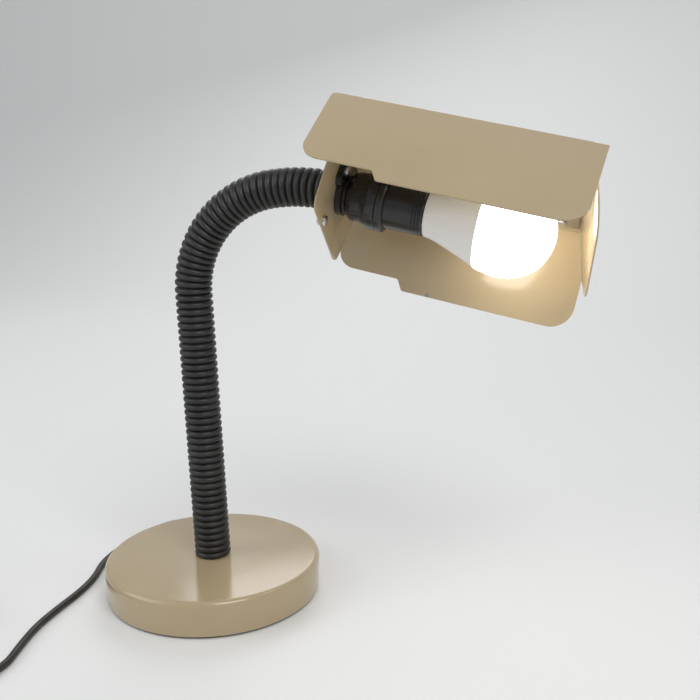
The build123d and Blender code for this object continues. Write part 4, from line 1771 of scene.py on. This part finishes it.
@dataclass
class MainsCord:
    """Cord from the base through its switch to the coil and plug."""

    diameter: float = 0.005
    exit: Point = (-0.043, 0.074478, 0.0095)
    first: Point = (-0.053, 0.091799, 0.0095)
    route: tuple[Point, ...] = (
        (-0.0684, 0.0989, 0.0052), (-0.0852, 0.0936, 0.003), (-0.0955, 0.0755, 0.00255),
        (-0.097, 0.0608, 0.00255), (-0.1008, 0.0435, 0.00255), (-0.102, 0.025, 0.00255),
        (-0.1005, 0.007, 0.00255), (-0.093, -0.0155, 0.00255), (-0.0905, -0.04, 0.00255),
        (-0.0915, -0.066, 0.00255), (-0.091, -0.092, 0.00255), (-0.086, -0.117, 0.00255),
        (-0.0795, -0.142, 0.00255), (-0.087, -0.1627, 0.0046), (-0.105, -0.1753, 0.0075),
        (-0.13, -0.1753, 0.0075),
    )
    lead_length: float = 0.362
    tail: tuple[Point, ...] = (
        (-0.164, -0.1753, 0.0075), (-0.193165, -0.1753, 0.0075), (-0.2165, -0.151965, 0.0039),
    )
    centre: Pair = (-0.178, -0.116)
    outer: float = 0.0385
    step: float = 0.00275
    low_count: int = 7
    high_count: int = 6
    low: float = 0.0039
    high: float = 0.0094
    plug_height: float = 0.01905
    grip: float = 0.011
    coil_length: float = 1.43
    steps: int = 12

    def build(self, dresser: Dresser) -> None:
        """Lay both lengths of cord with the pieces on them.

        Args:
            dresser: Finishes and fits the pieces.
        """
        fittings = [Gland().build(dresser), *CordSwitch().build(dresser)]
        lead = self._line("cord_to_switch", [self.exit, self.first, *self.route])
        dresser.fit(lead, "base", Finishes.CORD, "cord_brown", "cord_lead")
        fittings = [*Plug().build(dresser), CordTie().build(dresser)]
        coil = self._line("cord_to_plug", [*self.tail, *self._turns()])
        dresser.fit(coil, "base", Finishes.CORD, "cord_brown", "cord_coil")

    def _crossings(self) -> list[float]:
        """Where the turns cross the coil's middle line.

        Returns:
            Distance of each crossing from the middle, lower layer first.
        """
        across = []
        for k in range(self.low_count):
            across.append((self.outer - self.step * k) * (-1.0 if k % 2 == 0 else 1.0))
        inner = self.outer - self.step * self.low_count
        across.append(inner)
        for k in range(self.high_count):
            across.append((inner + self.step * (k + 2)) * (-1.0 if k % 2 == 0 else 1.0))
        return across + [-self.outer]

    def _turns(self) -> list[Point]:
        """Coil with half a turn between crossings, then the run into the plug.

        Returns:
            Its control points.
        """
        crossings = self._crossings()
        climb = self.low_count - 1
        last = len(crossings) - 2
        points: list[Point] = []
        for k, (start, end) in enumerate(zip(crossings, crossings[1:])):
            middle, radius = (start + end) / 2, abs(end - start) / 2
            side = 1.0 if k % 2 == 0 else -1.0
            for step in range(self.steps):
                share = step / self.steps
                across = middle + math.copysign(radius, start) * math.cos(math.pi * share)
                up = self.low if k <= climb else self.high
                if k in (climb, last):
                    goal = self.high if k == climb else self.plug_height
                    up += (goal - up) * share * share * (3.0 - 2.0 * share)
                away = side * radius * math.sin(math.pi * share)
                points.append((self.centre[0] + across, self.centre[1] + away, up))
        end_x = self.centre[0] - self.outer
        points.append((end_x, self.centre[1], self.plug_height))
        points.append((end_x, self.centre[1] + self.grip, self.plug_height))
        return points

    def _line(self, name: str, points: Sequence[Point]) -> Piece:
        """Round cord on a smooth line.

        Args:
            name: Name of the new piece.
            points: Control points of the line.

        Returns:
            The new curve.
        """
        curve = bpy.data.curves.new(name, "CURVE")
        curve.dimensions = "3D"
        curve.bevel_depth = self.diameter / 2
        curve.bevel_resolution = 6
        curve.use_fill_caps = True
        spline = curve.splines.new("NURBS")
        spline.points.add(len(points) - 1)
        for control, point in zip(spline.points, points):
            control.co = (*point, 1.0)
        spline.order_u = 3
        spline.use_endpoint_u = True
        spline.resolution_u = 6
        spline.use_smooth = True
        return add_object(name, curve)


@dataclass
class Studio:
    """Pale floor, soft light and the camera of the photograph."""

    lens: float = 49.57
    sensor: float = 36.0
    eye: Point = (0.302, -0.5996, 0.3304)
    ahead: Point = (-0.2982, 0.9283, -0.2222)
    up: Point = (-0.0495, 0.2174, 0.9748)
    near: float = 0.01
    aim: Point = (0.08, 0.0, 0.17)
    lights: tuple[tuple[str, Point, float, float], ...] = (
        ("key", (0.9, -0.9, 1.5), 0.9, 13.5),
        ("fill", (-1.3, -0.8, 1.0), 1.2, 8.5),
        ("back", (-0.3, 1.4, 1.3), 1.0, 8.0),
    )
    sky: Colour = (0.9, 0.92, 0.95)
    sky_strength: float = 0.5
    floor: Colour = (0.8, 0.8, 0.79)
    floor_rough: float = 0.7
    floor_half: float = 4.0
    floor_deep: float = 6.0
    wall_high: float = 4.0
    bend: float = 0.9
    bend_steps: int = 16
    smooth_deg: float = 60.0

    def build(self) -> None:
        """Set the floor, the lights and the camera."""
        self._floor()
        for light in self.lights:
            self._light(*light)
        world = bpy.data.worlds.new("studio")
        bpy.context.scene.world = world
        world.use_nodes = True
        sky = {"Color": (*self.sky, 1.0), "Strength": self.sky_strength}
        set_inputs(world.node_tree.nodes["Background"], sky)
        self._camera()
        bpy.context.scene.view_settings.view_transform = "Standard"

    def _floor(self) -> None:
        """Plain pale floor that curves up behind the lamp."""
        bm = bmesh.new()
        sides = (-self.floor_half, self.floor_half)
        edge = bm.edges.new([bm.verts.new((x, -self.floor_half, 0.0)) for x in sides])
        for step in ((0.0, self.floor_deep, 0.0), (0.0, 0.0, self.wall_high)):
            edge = carry(bm, [edge], [Matrix.Identity(4), Matrix.Translation(step)])[0]
        round_edges(bm, [e for e in bm.edges if len(e.link_faces) == 2], self.bend, self.bend_steps)
        floor = finish_mesh(bm, "floor", Matrix.Identity(4), self.smooth_deg)
        material = bpy.data.materials.new("floor_pale")
        material.use_nodes = True
        pale = {"Base Color": (*self.floor, 1.0), "Roughness": self.floor_rough}
        set_inputs(material.node_tree.nodes["Principled BSDF"], pale)
        floor.data.materials.append(material)

    def _light(self, name: str, place: Point, size: float, power: float) -> None:
        """Square soft light aimed at the lamp.

        Args:
            name: Name of the light.
            place: Where it hangs.
            size: Side of the square.
            power: Watts.
        """
        data = bpy.data.lights.new(name, "AREA")
        data.size = size
        data.energy = power
        light = add_object(name, data)
        light.location = place
        aim = Vector(self.aim) - Vector(place)
        light.rotation_euler = aim.to_track_quat("-Z", "Y").to_euler()

    def _camera(self) -> None:
        """Camera at the photograph's place and angle."""
        data = bpy.data.cameras.new("photo_view")
        data.lens = self.lens
        data.sensor_width = self.sensor
        data.clip_start = self.near
        ahead = Vector(self.ahead).normalized()
        right = ahead.cross(Vector(self.up)).normalized()
        top = right.cross(ahead)
        turn = Matrix((right, top, -ahead)).transposed().to_4x4()
        camera = add_object("photo_view", data)
        camera.matrix_world = Matrix.Translation(self.eye) @ turn
        bpy.context.scene.camera = camera


def write_sizes() -> None:
    """Bring the scene's placings up to date."""
    bpy.context.view_layer.update()


def main() -> None:
    """Build the lamp's pieces in order."""
    logging.basicConfig(level=logging.INFO, format="%(name)s: %(message)s")
    dresser = Dresser()
    neck = FlexibleNeck()
    head = neck.head()
    Studio().build()
    MainsCord().build(dresser)
    Base().build(dresser)
    neck.build(dresser)
    Shade().build(dresser, head)
    LampHolder().build(dresser, head)
    Bulb().build(dresser, head)
    write_sizes()


if __name__ == "__main__":
    main()
